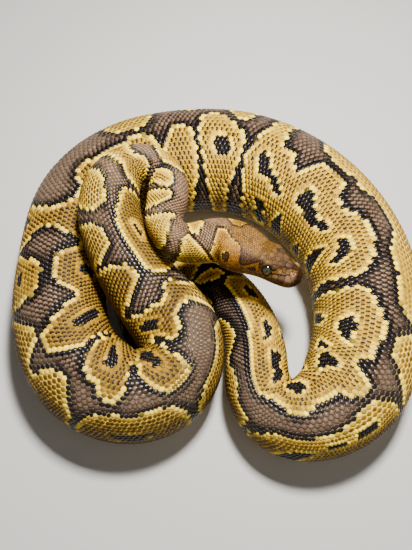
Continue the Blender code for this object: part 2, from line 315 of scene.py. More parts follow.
# %% Outlines of the gold lobes and of the black spots
UNDER = 127                      # degrees: an outline that runs on here has no edge there
GOLD = [
    # the head's right cheek and its left one, then the patches behind them
    [(20, 92), (20.5, 78), (22, 60), (23.5, 46), (25, 44), (26, 55), (28, 67), (30, 76), (32, 80),
     (33.5, 72), (34, 60), (35, 45), (36, 34), (38, 27), (41, 23), (45, 20), (47, 13), (49, 6),
     (51.5, 2), (53.5, 3), (55, 10), (56.5, 22), (57.5, 35), (58, 50), (60, 63), (62, 76), (60, 95),
     (54, 106), (42, 106), (30, 102), (24, 98)],
    [(20, -92), (20.5, -78), (22, -64), (24, -60), (27, -68), (30, -76), (34, -78), (38, -68), (41, -50),
     (42, -30), (43, -14), (47, -12), (48.5, -25), (49, -45), (51, -70), (57, -90), (52, -106),
     (42, -106), (30, -102), (24, -98)],
    [(60, -60), (60, -25), (64, -5), (68, 8), (72, 2), (74, -20), (75, -60), (74, -128), (62, -128)],
    [(74, 2), (76, 20), (75, 60), (74, 128), (58, 128), (62, 85), (66, 55), (70, 30), (72, 12)],
    [(90, -40), (90.5, -20), (90, 10), (90.5, 50), (92, 90), (93, 128), (82, 128), (80, 90), (80, 60),
     (81, 35), (83, 12), (86, -12), (88, -32)],
    [(98, -8), (96, 2), (94.5, 20), (94, 60), (94, 128), (105, 128), (105, 60), (105, 25), (105.5, 8),
     (105.5, -6), (103.5, -18), (101, -18)],
    [(107.5, -3), (108.5, -12), (110.5, -17), (113, -15), (116, -4), (118, 6), (121, 16), (122.5, 28),
     (122, 40), (120, 60), (121, 128), (112, 128), (112, 70), (111, 45), (109, 24), (107, 8)],
    # the neck's left side, with the two bridges over the back
    [(115, -128), (115, -60), (117, -25), (120, -8), (123, -2), (126, -10), (128, -30), (129, -80),
     (130, -128)],
    [(137, -128), (137, -60), (138, -20), (136, 2), (131, 15), (128, 35), (128, 60), (132, 128),
     (152, 128), (150, 60), (149, 30), (146, 10), (146, -20), (147, -60), (148, -128)],
    [(153, -128), (153, -55), (153, -25), (155, -5), (160, 1), (163, 2), (167, -3), (169, -20),
     (169, -45), (166, -70), (168, -128)],
    [(176, -128), (175, -50), (175, -30), (177, -18), (182, -13), (186, -15), (190, -30), (193, -50),
     (194, -66), (197, -75), (196, -45), (197, -25), (200, -7), (205, -5), (211, -5), (214, -15),
     (219, -35), (222, -55), (224, -70), (229, -45), (231, -25), (231, -15), (233, -3), (232, 3),
     (226, 8), (223, 18), (224, 28), (232, 45), (234, 80), (234, 128), (252, 128), (250, 85),
     (246, 55), (243, 40), (241, 25), (242, 12), (245, 2), (250, 1), (257, -3), (258, -10),
     (252, -25), (250, -40), (256, -36), (260, -20), (265, -10), (267.5, 10), (270, 20), (275, 26),
     (282.5, 25), (289, 10), (294, -7), (293, -17), (292, -28), (300, -22), (301, -5), (303, 10),
     (306, 20), (309, 23), (313, 17), (316, 7), (321, 6), (327.5, -2), (331, -12), (333.5, -30),
     (333, -60), (336, -62), (338.5, -30), (336, -17), (339, -7), (342, 5), (345, 17), (350, 20),
     (354, 17), (357.5, 7), (362.5, -5), (367.5, -15), (371, -27), (375, -31), (377.5, -27),
     (380, -12), (384, -5), (391, -1), (399, -4), (404, -12), (408, -30), (411, -30), (414, -20),
     (416, -7), (418, 5), (417.5, 17), (414, 30), (409, 40), (406, 52), (403, 70), (402, 128),
     (436, 128), (436, 72), (433, 55), (431, 42), (430, 25), (431, 10), (435, 0), (441, -9),
     (445, -9), (449, -6), (451, 0), (455, 7), (460, 10), (464, 6), (467.5, 1), (478, 3), (490, 2),
     (492.5, 5), (500, 6), (506, 2), (510, -8), (511.5, -15), (513, -15), (513, -7), (516, 2),
     (520, 10), (525, 12), (530, 9), (533, -5), (534, -25), (533.5, -45), (532, -62), (529, -90),
     (528, -128)],
    [(548, -128), (545, -87), (541, -65), (539, -45), (537.5, -25), (535, -5), (536, 12), (538, 25),
     (542.5, 32), (550, 31), (556, 17), (562.5, 5), (565.6, -2), (566, -20), (564, -45), (561, -65),
     (560.6, -128)],
    # the long outer side of the coil
    [(578, -128), (576, -72), (575, -57), (571, -45), (569, -30), (569, -15), (571, -5), (574, 10),
     (577, 25), (578, 50), (578, 128), (590, 128), (588, 60), (587, 30), (588, 15), (589, 5),
     (597.5, 1), (601, -7), (606, -12), (609, -7), (611, 5), (615, 12), (622.5, 15), (630, 14),
     (634, 6), (637.5, -2), (645, -6), (649, -2), (652.5, 4), (660, 6), (670, 5), (677.5, 2),
     (685, -5), (691, -15), (690.5, -40), (690, -62), (692, -128)],
    [(699, -128), (697.5, -65), (699, -47), (698.5, -30), (697.5, -20), (699, -12), (705, -5),
     (712.5, 0), (721, 7), (727.5, 6), (735, 2), (740, 1), (743, -7), (746, -7), (749, 0),
     (751, 10), (754, 15), (757.5, 14), (761, 5), (766, -4), (772.5, -5), (776, -1), (781, 5),
     (786, 9), (790, 5), (794, 1), (799, 0), (802.5, 6), (807.5, 15), (812.5, 16), (822.5, 14),
     (832.5, 13), (839, 16), (845, 9), (851, 6), (857.5, 7), (865, 10), (872.5, 11), (879, 6),
     (881, -2), (880, -20), (877, -40), (876, -55), (873, -75), (872, -128)],
    # the right side, in order from the neck to the tail
    [(158, 128), (158, 88), (155, 70), (155, 45), (158, 31), (164, 25), (168, 17), (174, 11),
     (186, 9), (200, 9), (209, 11), (213, 18), (216, 30), (218, 38), (216, 80), (214, 128)],
    [(252, 128), (253, 70), (254, 56), (257.5, 51), (261, 54), (270, 51), (275, 55), (277.5, 62),
     (280, 80), (281, 128)],
    [(284, 128), (283, 70), (284, 50), (286, 42), (289, 37), (295, 36), (300, 40), (305, 36),
     (311, 40), (315, 47), (317.5, 60), (319, 82), (320, 128)],
    [(323, 128), (322, 85), (321, 60), (324, 45), (326, 30), (330, 20), (335, 19), (339, 30),
     (341, 45), (342.5, 54), (347.5, 50), (350, 37), (354, 22), (357.5, 21), (361, 30), (365, 42),
     (368, 57), (369, 128)],
    [(373, 128), (372.5, 50), (375, 35), (376, 22), (379, 14), (382, 11), (392.5, 10), (396, 17),
     (397.5, 30), (401, 45), (402, 60), (402, 128)],
    [(446, 128), (448, 82), (452, 62), (458, 52), (465, 50), (471, 58), (474, 80), (475, 128)],
    [(482, 128), (482, 60), (484, 27), (487.5, 21), (492.5, 16), (500, 15), (505, 20), (507, 27),
     (510, 60), (511, 128)],
    [(520, 128), (521, 70), (526, 50), (534, 46), (541, 56), (543, 80), (543, 128)],
    [(552, 128), (552, 60), (554, 35), (557.5, 26), (561, 24), (565, 29), (567, 60), (567, 128)],
    [(600, 128), (602.5, 60), (605, 45), (608, 32), (614, 25), (620, 22), (626, 24), (631, 32),
     (634, 26), (640, 25), (645, 32), (652.5, 35), (665, 35), (670, 27), (675, 20), (680, 16),
     (685, 20), (690, 21), (695, 19), (704, 17), (710, 24), (716, 34), (718, 60), (718, 128)],
    [(721, 128), (721, 60), (721.5, 32), (723, 22), (727.5, 17), (732.5, 17), (736, 25), (740, 35),
     (744, 50), (747, 65), (747, 128)],
    [(750, 128), (750, 62), (750, 40), (754, 26), (761, 23), (767.5, 30), (775, 37), (782.5, 39),
     (790, 39), (794, 47), (797.5, 60), (801, 75), (801, 128)],
    [(805, 128), (802.5, 57), (810, 54), (814, 45), (817.5, 42), (821, 49), (825, 60), (830, 65),
     (835, 54), (840, 45), (846, 42), (852.5, 47), (857.5, 55), (860, 61), (864, 78), (864, 128)],
    [(872, 128), (871, 84), (876, 68), (884, 66), (891, 84), (891, 128)],
    # the tail
    [(884, -12), (889, -8), (894, 0), (896, 20), (899, 45), (899, 54), (893, 45), (887, 25), (884, 5)],
    [(900, -8), (908, -6), (916, 0), (918, 30), (914, 60), (912, 128), (902, 128), (901, 30)],
    [(902, -128), (902, -70), (908, -38), (916, -40), (920, -80), (920, -128)],
    [(926, -14), (936, -14), (942, 6), (936, 24), (927, 16)],
    [(924, 128), (926, 70), (933, 50), (940, 70), (942, 128)],
    [(930, -128), (932, -60), (944, -46), (950, -80), (950, -128)],
    [(952, -20), (964, -18), (970, 0), (962, 18), (953, 12)],
    [(956, 128), (958, 60), (972, 54), (976, 128)],
    [(962, -128), (964, -60), (974, -56), (978, -128)],
]
BLACK = [
    [(22.4, 62), (23.2, 48), (24.6, 38), (26, 36), (25.2, 48), (24.2, 60), (23.6, 72), (22.6, 74)],
    [(24.8, 82), (26, 76), (27.2, 80), (28.6, 84), (27.4, 90), (25.4, 92)],
    [(41, 62), (43.5, 56), (47, 63), (49, 71), (47, 84), (43, 88), (41, 80)],
    [(41, -64), (44, -60), (48, -70), (45, -88), (41, -80)],
    [(180, 44), (179, 39), (190, 40), (188, 46)], [(236, -42), (237, -52), (240, -50), (245, -35),
     (246, -30), (243, -25), (241, -22), (238, -30)],
    [(270, -40), (277.5, -44), (287.5, -37), (285, -25), (282.5, -17), (281, -7), (277.5, -5),
     (274, -10), (271, -25)],
    [(313, -30), (315, -35), (320, -47), (322.5, -55), (323, -45), (320, -25), (318, -12), (314, -14),
     (312, -22)],
    [(351, -22), (351, -32), (355, -47), (361, -62), (363, -55), (362, -42), (359, -30), (355, -19)],
    [(390, -60), (395, -52), (397.5, -42), (396, -34), (391, -34), (390, -47)],
    [(294, 70), (300, 67), (306, 71), (305, 82), (298, 84)], [(336, 66), (343, 67), (344, 76), (338, 75)],
    [(384, 39), (390, 40), (390, 50), (385, 49)], [(418, 50), (423, 48), (427, 55), (426, 72), (419, 72)],
    [(545, -7), (546, -15), (549, -21), (555, -21), (557.5, -16), (555, -7), (550, -2), (545.6, -4)],
    [(579, -22), (582, -33), (590, -33), (597, -40), (603, -46), (607, -42), (601, -36), (594, -28),
     (588, -22), (584, -12), (581, -9), (579, -14)],
    [(590, -65), (597, -64), (599, -80), (602, -100), (595, -100), (592, -85)],
    [(612, -90), (623, -90), (620, -75), (617, -64), (615, -66), (613, -80)],
    [(619, -32), (623, -40), (632, -42), (642, -43), (650, -37), (652, -30), (649, -28), (642, -34),
     (634, -30), (629, -24), (624, -16), (621, -18), (619, -26)],
    [(642, -92), (650, -90), (649, -82), (645, -76)],
    [(661, -80), (666, -88), (672, -86), (671, -70), (667, -58), (663, -46), (661, -60)],
    [(663, -26), (669, -28), (674, -38), (677, -44), (679, -36), (676, -26), (671, -17), (666, -16),
     (663, -20)],
    [(709, -88), (715, -88), (719, -78), (721, -68), (717, -62), (713, -74)],
    [(717, -28), (722, -38), (725, -42), (729, -35), (734, -28), (735, -21), (729, -22), (724, -20),
     (720, -22)],
    [(735, -64), (743, -64), (741, -50), (740, -43), (738, -52)],
    [(747, -47), (752, -52), (757, -48), (764, -42), (760, -37), (755, -36), (754, -25), (751, -24),
     (749, -32)],
    [(762, -90), (768, -90), (773, -70), (770, -65), (764, -80)],
    [(779, -28), (780, -38), (784, -43), (790, -42), (797, -35), (800, -30), (795, -27), (788, -22),
     (782, -22)],
    [(808, -12), (809, -30), (813, -40), (818, -43), (820, -38), (824, -36), (827, -45), (830, -38),
     (831, -20), (827, -18), (822, -22), (817, -24), (812, -18)],
    [(836, -12), (838, -24), (844, -32), (848, -26), (847, -18), (841, -14)],
    [(862, -32), (867, -36), (871, -28), (869, -16), (865, -16), (862, -24)],
    [(840, -90), (840, -60), (843, -58), (843, -90)], [(856, -85), (856, -70), (861, -68), (861, -84)],
    [(759, 44), (767, 45), (767, 55), (760, 56)], [(771, 52), (776, 52), (776, 57), (771, 57)],
    [(781, 65), (786, 65), (790, 80), (793, 110), (788, 110), (784, 80)],
]
print(len(GOLD), "gold lobes and", len(BLACK), "black spots")

# %% [markdown]
# ## How far in is a scale?
#
# The distance to the nearest outline grades the colour: a pale rim and a deeper
# gold inside on one side of the line, black and warm brown on the other. It is
# worked out for all scales at once, one edge of an outline after another.

# %% Distance to the markings
REACH = 16.0                     # millimetres: further off, the distance makes no difference
FAR = 99.0


def inside_and_distance(outline, s, angle, radius):
    """For points in millimetres and degrees: are they inside, and how far is the line, in mm."""
    corners = np.array(outline, float)
    inside, nearest = np.zeros(len(s), bool), np.full(len(s), FAR)
    per_degree = radius * math.pi / 180
    for (s0, a0), (s1, a1) in zip(corners, np.roll(corners, -1, axis=0)):
        if a0 != a1:
            crossing = (a0 > angle) != (a1 > angle)
            inside ^= crossing & (s < (s1 - s0) * (angle - a0) / (a1 - a0) + s0)
        if abs(a0) > UNDER and abs(a1) > UNDER:
            continue
        run, rise = s1 - s0, (a1 - a0) * per_degree
        ds, da = s - s0, (angle - a0) * per_degree
        share = np.clip((ds * run + da * rise) / (run * run + rise * rise + 1e-9), 0, 1)
        nearest = np.minimum(nearest, np.hypot(ds - share * run, da - share * rise))
    return inside, nearest


def signed_distance(outlines, s, angle, radius):
    """Millimetres inside the nearest outline, or minus the millimetres outside all of them."""
    depth = np.full(len(s), -REACH)
    for outline in outlines:
        ends = [corner[0] for corner in outline]
        near = np.flatnonzero((s > min(ends) - REACH) & (s < max(ends) + REACH))
        if len(near):
            inside, far = inside_and_distance(outline, s[near], angle[near], radius[near])
            depth[near] = np.maximum(depth[near], np.where(inside, far, -far))
    return depth


def section_radius(s):
    """The half width of the body, or of the head, at s."""
    here = body_at(s)
    return section_sizes(s, here[:, 3], here[:, 4])[0]


def painted_shade_share(s):
    """1 on the left half of the coil, where painted shade darkens the gold, 0.6 towards the tail, else 0.
    """
    return smooth(0.56, 0.44, s) * smooth(0.16, 0.24, s) + 0.6 * smooth(0.77, 0.82, s)


SPOT_GROWTH = 0.4                # millimetres added round the body's black spots


def depths(s, angle):
    """Millimetres inside the gold (minus: outside it), inside a black spot, and in from the rim.

    Round the spots of the neck and of the left half, the pale rim is left out."""
    radius = section_radius(s) * 1000
    gold = signed_distance(GOLD, s * 1000, np.degrees(angle), radius)
    spot = signed_distance(BLACK, s * 1000, np.degrees(angle), radius)
    spot = spot + SPOT_GROWTH * smooth(0.06, 0.08, s)
    unringed = 1.6 * painted_shade_share(s) + 2.2 * smooth(0.14, 0.18, s) * smooth(0.30, 0.25, s)
    return np.minimum(gold, -spot), spot, np.minimum(gold, unringed - spot)


def drawn_out(s, angle):
    """1 on the outside of a bend, where the scales stand apart and pale skin shows, else 0."""
    return smooth(1.07, 1.24, outward(s, angle)[1])


def flank(angle, start, end):
    """0 on the back and 1 down the side, with the step between two angles in degrees."""
    return smooth(start, end, np.abs(np.degrees(angle)))


print("distances ready")

# %% [markdown]
# ## From distance to colour
#
# Each scale is painted in four tones: its middle, the ring round it, its free
# tip, and its root, which lies in the shade of the scale before it. The root's
# dark tone is partly the dark skin there and partly painted shade, so dark dots
# show in the gold. The pale ring and tip of a gold scale, and the grey middle of
# a dark one, are painted highlights; the darker tip of a dark scale is painted
# shade. On the outside of a bend the skin is drawn out, and there olive scales
# stand in a net of pale skin instead.
# One paint for a whole scale would be simpler, but the dots and the net are what
# the eye reads as a python.

# %% Tones
def rgb(*values):
    """A colour given as it looks, 0 to 255, in the linear values a shader wants."""
    share = np.array(values, float) / 255
    return np.where(share > 0.04045, ((share + 0.055) / 1.055) ** 2.4, share / 12.92)


RIM, GOLD_TONE, OCHRE = rgb(252, 216, 62), rgb(206, 160, 28), rgb(150, 104, 14)
LEFT_SHADE_OCHRE, NAPE_GOLD, NAPE_OCHRE = rgb(110, 64, 9), rgb(206, 152, 54), rgb(146, 94, 20)
OLIVE, PALE_NET_AND_HIGHLIGHT, FRECKLE = rgb(90, 60, 16), rgb(255, 226, 96), rgb(68, 35, 8)
BLACK_TONE, BROWN, WARM_GREY_HIGHLIGHT = rgb(30, 26, 26), rgb(86, 67, 52), rgb(130, 108, 88)
GAP_BROWN, GAP_BLACK, GREY_NET = rgb(24, 12, 4), rgb(8, 6, 5), rgb(104, 90, 74)
NECK_BROWN, HEAD_EDGE, CROWN_TAN = rgb(134, 103, 73), rgb(48, 30, 14), rgb(126, 88, 33)
WEDGE_BROWN, CREAM = rgb(82, 54, 29), rgb(228, 206, 156)

# Painted shade makes the gold of the left half darker and redder: how much less
# red, green and blue at the rim of a lobe, and how much less again further in.
LEFT_SHADE_RIM, LEFT_SHADE_INSIDE = np.array([0.08, 0.10, 0.10]), np.array([0.30, 0.31, 0.30])
FRECKLED = 0.20                  # share of the inner gold scales that carry a brown freckle
BELLY = (108, 122)               # degrees: from here to here the flank turns cream
NAPE, CROWN = (0.066, 0.052), (0.060, 0.044)   # metres: from here forward to here


def mix(one, other, share):
    """One colour turned into another by a share, for every scale or for all alike."""
    return one + (other - one) * np.broadcast_to(share, len(one))[:, None]


def all_of(colour, count):
    """One colour for each of so many scales."""
    return np.tile(colour, (count, 1))


def graded(first, last, start, end, value):
    """A colour that turns into another while a value goes from start to end."""
    return mix(all_of(first, len(value)), last, smooth(start, end, value))


def dark_tone(s, angle, light):
    """The dark side's colour: black beside the gold, then brown. Paler and thinner on the neck."""
    s_mm = s * 1000
    narrow = np.interp(s_mm, (40, 75, 170, 260, 340), (0.20, 0.34, 0.62, 0.85, 1.0))
    edge = graded(BLACK_TONE, HEAD_EDGE, 110, 60, s_mm)
    inside = mix(all_of(BROWN, len(s)), NECK_BROWN, 0.75 * smooth(230, 90, s_mm))
    behind_eye = smooth(25, 28, s_mm)
    crown = mix(all_of(CROWN_TAN, len(s)), WEDGE_BROWN, flank(angle, 26, 44) * behind_eye)
    crown = mix(crown, WEDGE_BROWN, 0.5 * smooth(3.5, 1.0, -light) * behind_eye)
    inside = mix(inside, crown, smooth(60, 42, s_mm))
    dark = mix(edge, inside, smooth(2.2, 5.6, -light / narrow))
    return mix(dark, BLACK_TONE, 0.85 * smooth(815, 852, s_mm)), smooth(3.0, 7.0, -light / narrow)


def gold_tones(s, angle, light, rim, net, draws):
    """Middle, ring, tip and root of gold scales, from the rim of a lobe inwards."""
    count, nape, deep = len(s), smooth(*NAPE, s), smooth(1.4, 3.6, light)
    on_neck = smooth(0.12, 0.15, s) * smooth(0.29, 0.24, s)
    # Painted shade: the deep gold is filled with olive down the flanks and on the neck, where less light
    # falls; on the outside of a bend the olive fill is the net's own colour.
    fill = 0.25 * deep * flank(angle, 35, 80) + 0.72 * net * smooth(0.3, 1.4, light)
    fill = np.clip(fill + 0.55 * on_neck * smooth(1.6, 3.6, light), 0, 0.95)
    gold = mix(all_of(RIM, count), GOLD_TONE, smooth(0.3, 2.6, rim))
    gold = mix(gold, OCHRE, 0.6 * smooth(3.5, 9, light))
    # Painted shade: the inner gold of the left half is deepened towards ochre.
    gold = mix(gold, LEFT_SHADE_OCHRE, 0.40 * smooth(0.8, 2.6, rim) * painted_shade_share(s))
    gold = mix(gold, NAPE_GOLD, 0.7 * nape)
    gold = mix(gold, NAPE_OCHRE, 0.85 * nape * smooth(0.4, 1.8, light))
    middle = mix(mix(gold, OCHRE, 0.7 * deep), OLIVE, 0.08 * deep + fill * 0.92)
    middle = mix(middle, FRECKLE, 0.45 * on_neck * net * smooth(2.0, 4.5, light))
    freckled = (draws.random(count) < FRECKLED) & (light > 2.6)
    middle = mix(middle, FRECKLE, freckled * draws.uniform(0.3, 0.8, count))
    # Painted highlight: the ring and the tip of a gold scale are mixed towards pale yellow.
    ring = mix(mix(gold, PALE_NET_AND_HIGHLIGHT, 0.15 - 0.14 * nape), OLIVE, fill)
    tip = mix(mix(gold, PALE_NET_AND_HIGHLIGHT, 0.62 - 0.52 * nape), OLIVE, 0.6 * net * fill)
    # Painted shade: the left half's gold is darkened and reddened, more inside a lobe than at its rim.
    left = 1 - painted_shade_share(s)[:, None] * (LEFT_SHADE_RIM + smooth(0.2, 3.4, rim)[:, None] * LEFT_SHADE_INSIDE)
    # The root's dark tone is partly the dark skin there and partly painted shade of the scale before it.
    root = mix(gold, GAP_BROWN, deep * (1 - 0.35 * smooth(*CROWN, s)) * (1 - net))
    root = mix(root, PALE_NET_AND_HIGHLIGHT, 0.35 * net)
    return middle * left, ring * left, tip * left, root * left


def dark_tones(s, angle, light, spot, net):
    """Middle, ring, tip and root of dark scales: a painted highlight greys the middle, painted shade
    darkens the tip, and painted shade with the dark skin makes the root nearly black.
    """
    dark, inland = dark_tone(s, angle, light)
    dark = mix(dark, BLACK_TONE, (spot > 0.2) * 0.8 * smooth(0.052, 0.080, s))
    # Painted highlight: the middle of a dark scale inside a dark saddle is greyed; painted shade darkens
    # its tip.
    middle = mix(dark, WARM_GREY_HIGHLIGHT, (0.58 - 0.26 * net) * inland * (spot < 0))
    tip = mix(dark * 0.75, GREY_NET, 0.50 * net * (spot < 0))
    return middle, dark, tip, dark * (0.18 + 0.16 * smooth(*CROWN, s))[:, None]


def scale_colours(s, angle, draws):
    """A scale's middle, ring, tip and root tones, its polish, and how much of a net it is in."""
    light, spot, rim = depths(s, angle)
    net, share, belly = drawn_out(s, angle), smooth(-0.12, 0.12, light), flank(angle, *BELLY)
    golds = gold_tones(s, angle, light, rim, net, draws)
    darks = dark_tones(s, angle, light, spot, net)
    spread = 0.12 + 0.12 * smooth(*CROWN, s)
    # Besides a random touch lighter or darker, painted shade darkens the scales down the flanks.
    shade = np.exp(draws.normal(0, 1, len(s)) * spread) * (1 - 0.28 * flank(angle, 50, 80))
    # On the belly the cream tip and root are a little darker: painted shade.
    tones = [mix(mix(dark, gold, share), CREAM * cream, belly)
             for dark, gold, cream in zip(darks, golds, (1, 1, 0.95, 0.7))]
    shaded = [tone * shade[:, None] for tone in tones[:3]]
    return np.stack(shaded + tones[3:], 1), 1 - share, net


def gap_colours(s, angle):
    """The colour of the skin between the scales."""
    light, spot, _ = depths(s, angle)
    net = drawn_out(s, angle)
    gold_gap = mix(graded(OCHRE * 0.8, GAP_BROWN, 0.8, 3.0, light), PALE_NET_AND_HIGHLIGHT * 0.85, net)
    dark_gap = mix(all_of(GAP_BLACK, len(s)), GREY_NET, 0.8 * net * (spot < 0))
    colour = mix(dark_gap, gold_gap, smooth(-0.3, 0.3, light))
    return mix(colour, CREAM * 0.8, flank(angle, *BELLY))


print("tones ready")

# %% [markdown]
# ## Making a mesh from rows of points
#
# The skin, the scales and the belly plates all follow the route by a formula,
# which no primitive can be pulled into by hand. They come as rows of points, so
# one function turns points, faces and a colour for every point into an object.

# %% Points and faces into an object
def make_piece(name, points, faces, colours, material, places=None, polish=1.0):
    """A mesh object from arrays; places gives each point its spot on the map OFBake."""
    mesh = bpy.data.meshes.new(name)
    corners = np.array([corner for face in faces for corner in face])
    sizes = np.array([len(face) for face in faces])
    mesh.vertices.add(len(points))
    mesh.vertices.foreach_set("co", points.astype(np.float32).ravel())
    mesh.loops.add(len(corners))
    mesh.loops.foreach_set("vertex_index", corners.astype(np.int32))
    mesh.polygons.add(len(sizes))
    mesh.polygons.foreach_set("loop_start", (np.cumsum(sizes) - sizes).astype(np.int32))
    mesh.update(calc_edges=True)
    mesh.validate()
    tone = mesh.color_attributes.new("tone", "FLOAT_COLOR", "POINT")
    tones = np.c_[colours, np.broadcast_to(polish, len(colours))]
    tone.data.foreach_set("color", tones.astype(np.float32).ravel())
    if places is not None:
        layer = mesh.uv_layers.new(name="OFBake")
        layer.data.foreach_set("uv", places[corners].astype(np.float32).ravel())
    mesh.shade_smooth()
    mesh.materials.append(material)
    piece = bpy.data.objects.new(name, mesh)
    bpy.context.collection.objects.link(piece)
    return piece


def tube_faces(rings, sides):
    """Quads that join rings of points, each ring closed on itself."""
    ring, side = np.meshgrid(np.arange(rings - 1), np.arange(sides), indexing="ij")
    after = (side + 1) % sides
    return np.stack([ring * sides + side, ring * sides + after,
                     (ring + 1) * sides + after, (ring + 1) * sides + side], -1).reshape(-1, 4)


# %% [markdown]
# ## Materials
#
# Snake skin is glossy horn over dull skin. One finish serves all the scales: the
# colour of each is painted on its points, fine noise breaks it up, and the gloss
# varies a little from scale to scale. Gold scales are duller than black ones, so
# the fourth value of the painted colour, the polish, adds roughness to them.

# %% Finishes
GOLD_DULLNESS = 0.30             # roughness added where the polish is 0
GLOSS_BELOW, GLOSS_ABOVE = 0.08, 0.10   # how far the grain moves the roughness both ways
GRAIN_SIZE, GRAIN_DETAIL = 900, 4
BUMP_HEIGHT = 0.0001


def scaly_finish(name, roughness, shine, bump_strength, bump_size, speckle):
    """A glossy skin finish whose colour is the attribute `tone`, broken up by noise."""
    material, nodes, links, shader = new_material(name)

    def node(kind, **values):
        made = nodes.new("ShaderNode" + kind)
        for socket, value in values.items():
            made.inputs[socket.replace("_", " ")].default_value = value
        return made

    tone, place = node("Attribute"), node("TexCoord").outputs["Object"]
    tone.attribute_name = "tone"
    grain = node("TexNoise", Scale=GRAIN_SIZE, Detail=GRAIN_DETAIL)
    shade = node("MapRange", From_Min=0.3, From_Max=0.7, To_Min=1 - speckle, To_Max=1 + speckle)
    scaled = node("VectorMath")
    scaled.operation = "SCALE"
    gloss = node("MapRange", To_Min=roughness - GLOSS_BELOW, To_Max=roughness + GLOSS_ABOVE)
    dull = node("MapRange", To_Min=GOLD_DULLNESS, To_Max=0.0)
    total = node("Math")
    fine = node("TexNoise", Scale=bump_size)
    bump = node("Bump", Strength=bump_strength, Distance=BUMP_HEIGHT)
    for source, socket in (
            (place, grain.inputs["Vector"]),
            (grain.outputs["Fac"], shade.inputs["Value"]),
            (tone.outputs["Color"], scaled.inputs[0]),
            (shade.outputs["Result"], scaled.inputs["Scale"]),
            (scaled.outputs["Vector"], shader.inputs["Base Color"]),
            (grain.outputs["Fac"], gloss.inputs["Value"]),
            (tone.outputs["Alpha"], dull.inputs["Value"]),
            (gloss.outputs["Result"], total.inputs[0]),
            (dull.outputs["Result"], total.inputs[1]),
            (total.outputs["Value"], shader.inputs["Roughness"]),
            (place, fine.inputs["Vector"]),
            (fine.outputs["Fac"], bump.inputs["Height"]),
            (bump.outputs["Normal"], shader.inputs["Normal"])):
        links.new(source, socket)
    shader.inputs["Specular IOR Level"].default_value = shine
    return material


scale_finish = scaly_finish("scaled_skin", 0.22, 0.12, 0.15, 2600, 0.10)
head_finish = scaly_finish("head_skin", 0.44, 0.12, 0.35, 3200, 0.08)
belly_finish = scaly_finish("belly_skin", 0.38, 0.20, 0.2, 1800, 0.06)
print("three skin finishes")

# %% [markdown]
# ## The head's plates
#
# A python's snout carries a few large plates, its lips two rows of blocks, and
# the rest of the head small uneven scales. They could be cut one by one, but
# they fit like cracked mud, so each is a seed here, with a size. Every point of
# the head belongs to its nearest seed. Half way between two seeds runs a
# groove, and between grooves the plate swells a little.

# %% Seeds of the head's plates
# distance behind the snout tip in mm, degrees from the back, and size in mm
SNOUT_PLATES = [
    (0.6, 150, 1.0), (1.2, 60, 1.1), (1.6, 8, 0.6), (5.6, 9, 1.0), (9.4, 6, 1.4), (13.6, 17, 1.3),
    (13.2, 3, 0.6), (17.1, 28, 1.2), (17.0, 7, 0.9), (21.0, 9, 0.9), (20.4, 41, 1.6), (16.2, 41, 0.7),
    (14.4, 60, 0.5), (12.2, 47, 0.5), (10.6, 37, 0.4), (8.8, 29, 0.4), (6.8, 22, 0.5), (4.0, 26, 0.7),
    (24.6, 30, 0.5), (24.2, 16, 0.5), (4.2, 54, 1.4), (7.1, 75, 1.7), (10.1, 78, 1.6), (13.3, 82, 1.5),
    (16.6, 87, 1.2), (19.6, 91, 1.0), (5.0, 100, 0.6),
]
# the lips' blocks: the distance, and for the upper lip how far above the mouth line
UPPER_LIP = [(22.6, 1.5), (25.6, 1.5), (28.8, 1.4), (32.2, 1.4), (36.0, 1.3), (39.4, 1.2)]
LOWER_LIP = [2.6 + 2.3 * i for i in range(17)]
LIP_DROP, UPPER_SIZE, LOWER_SIZE = -0.0013, 0.0008, 0.0003
PITS = [(3.4, 66), (6.4, 88), (9.6, 92), (12.8, 94)]
NOSTRIL = (6.7, 22)
# the mouth line: distance, and height above the head's axis, both in metres
MOUTH = np.array([(-0.004, -0.0026), (0.004, -0.0030), (0.013, -0.0040), (0.022, -0.0036),
                  (0.032, -0.0042), (0.041, -0.0026)])
EYE_SCALES, EYE_RING, EYE_RING_TURN, EYE_RING_SIZE = 12, 0.0041, 0.40, 0.0001
HEAD_SKIN_END = 0.052
SMALL_START, SMALL_SCALE, SMALL_JITTER = 0.0100, 0.00125, 0.13
ROW_STEP, GIRTH_SHARE, KEEP_OFF = 0.88, 0.92, 0.0010


def mouth_angle(s, lift):
    """The angle from the back at which the side of the head is at the mouth line, plus a lift."""
    angles = np.radians(np.linspace(60, 150, 181))
    height = np.interp(s, MOUTH[:, 0], MOUTH[:, 1]) + lift
    centre, _, up, _, _ = axis_frame(np.array([s]))
    points = solid_point(np.full(len(angles), s), angles)
    above = ((points - centre) * up).sum(1)
    return float(np.interp(-height, -above, angles))


def placed_seeds():
    """The plates placed one by one, in metres: snout, lips, eye rings. Right side first."""
    placed = [(s / 1000, math.radians(a), size / 1000) for s, a, size in SNOUT_PLATES]
    placed += [(s / 1000, mouth_angle(s / 1000, lift / 1000), UPPER_SIZE) for s, lift in UPPER_LIP]
    placed += [(s / 1000, mouth_angle(s / 1000, LIP_DROP), LOWER_SIZE) for s in LOWER_LIP]
    eye_angle = math.atan2(EYE_PLACE[1], EYE_PLACE[2])
    for step in range(EYE_SCALES):
        turn = 2 * math.pi * (step + 0.5) / EYE_SCALES
        placed.append((EYE_PLACE[0] + EYE_RING * math.cos(turn),
                       eye_angle + EYE_RING_TURN * math.sin(turn), EYE_RING_SIZE))
    return np.concatenate([placed, np.array(placed) * (1, -1, 1)])


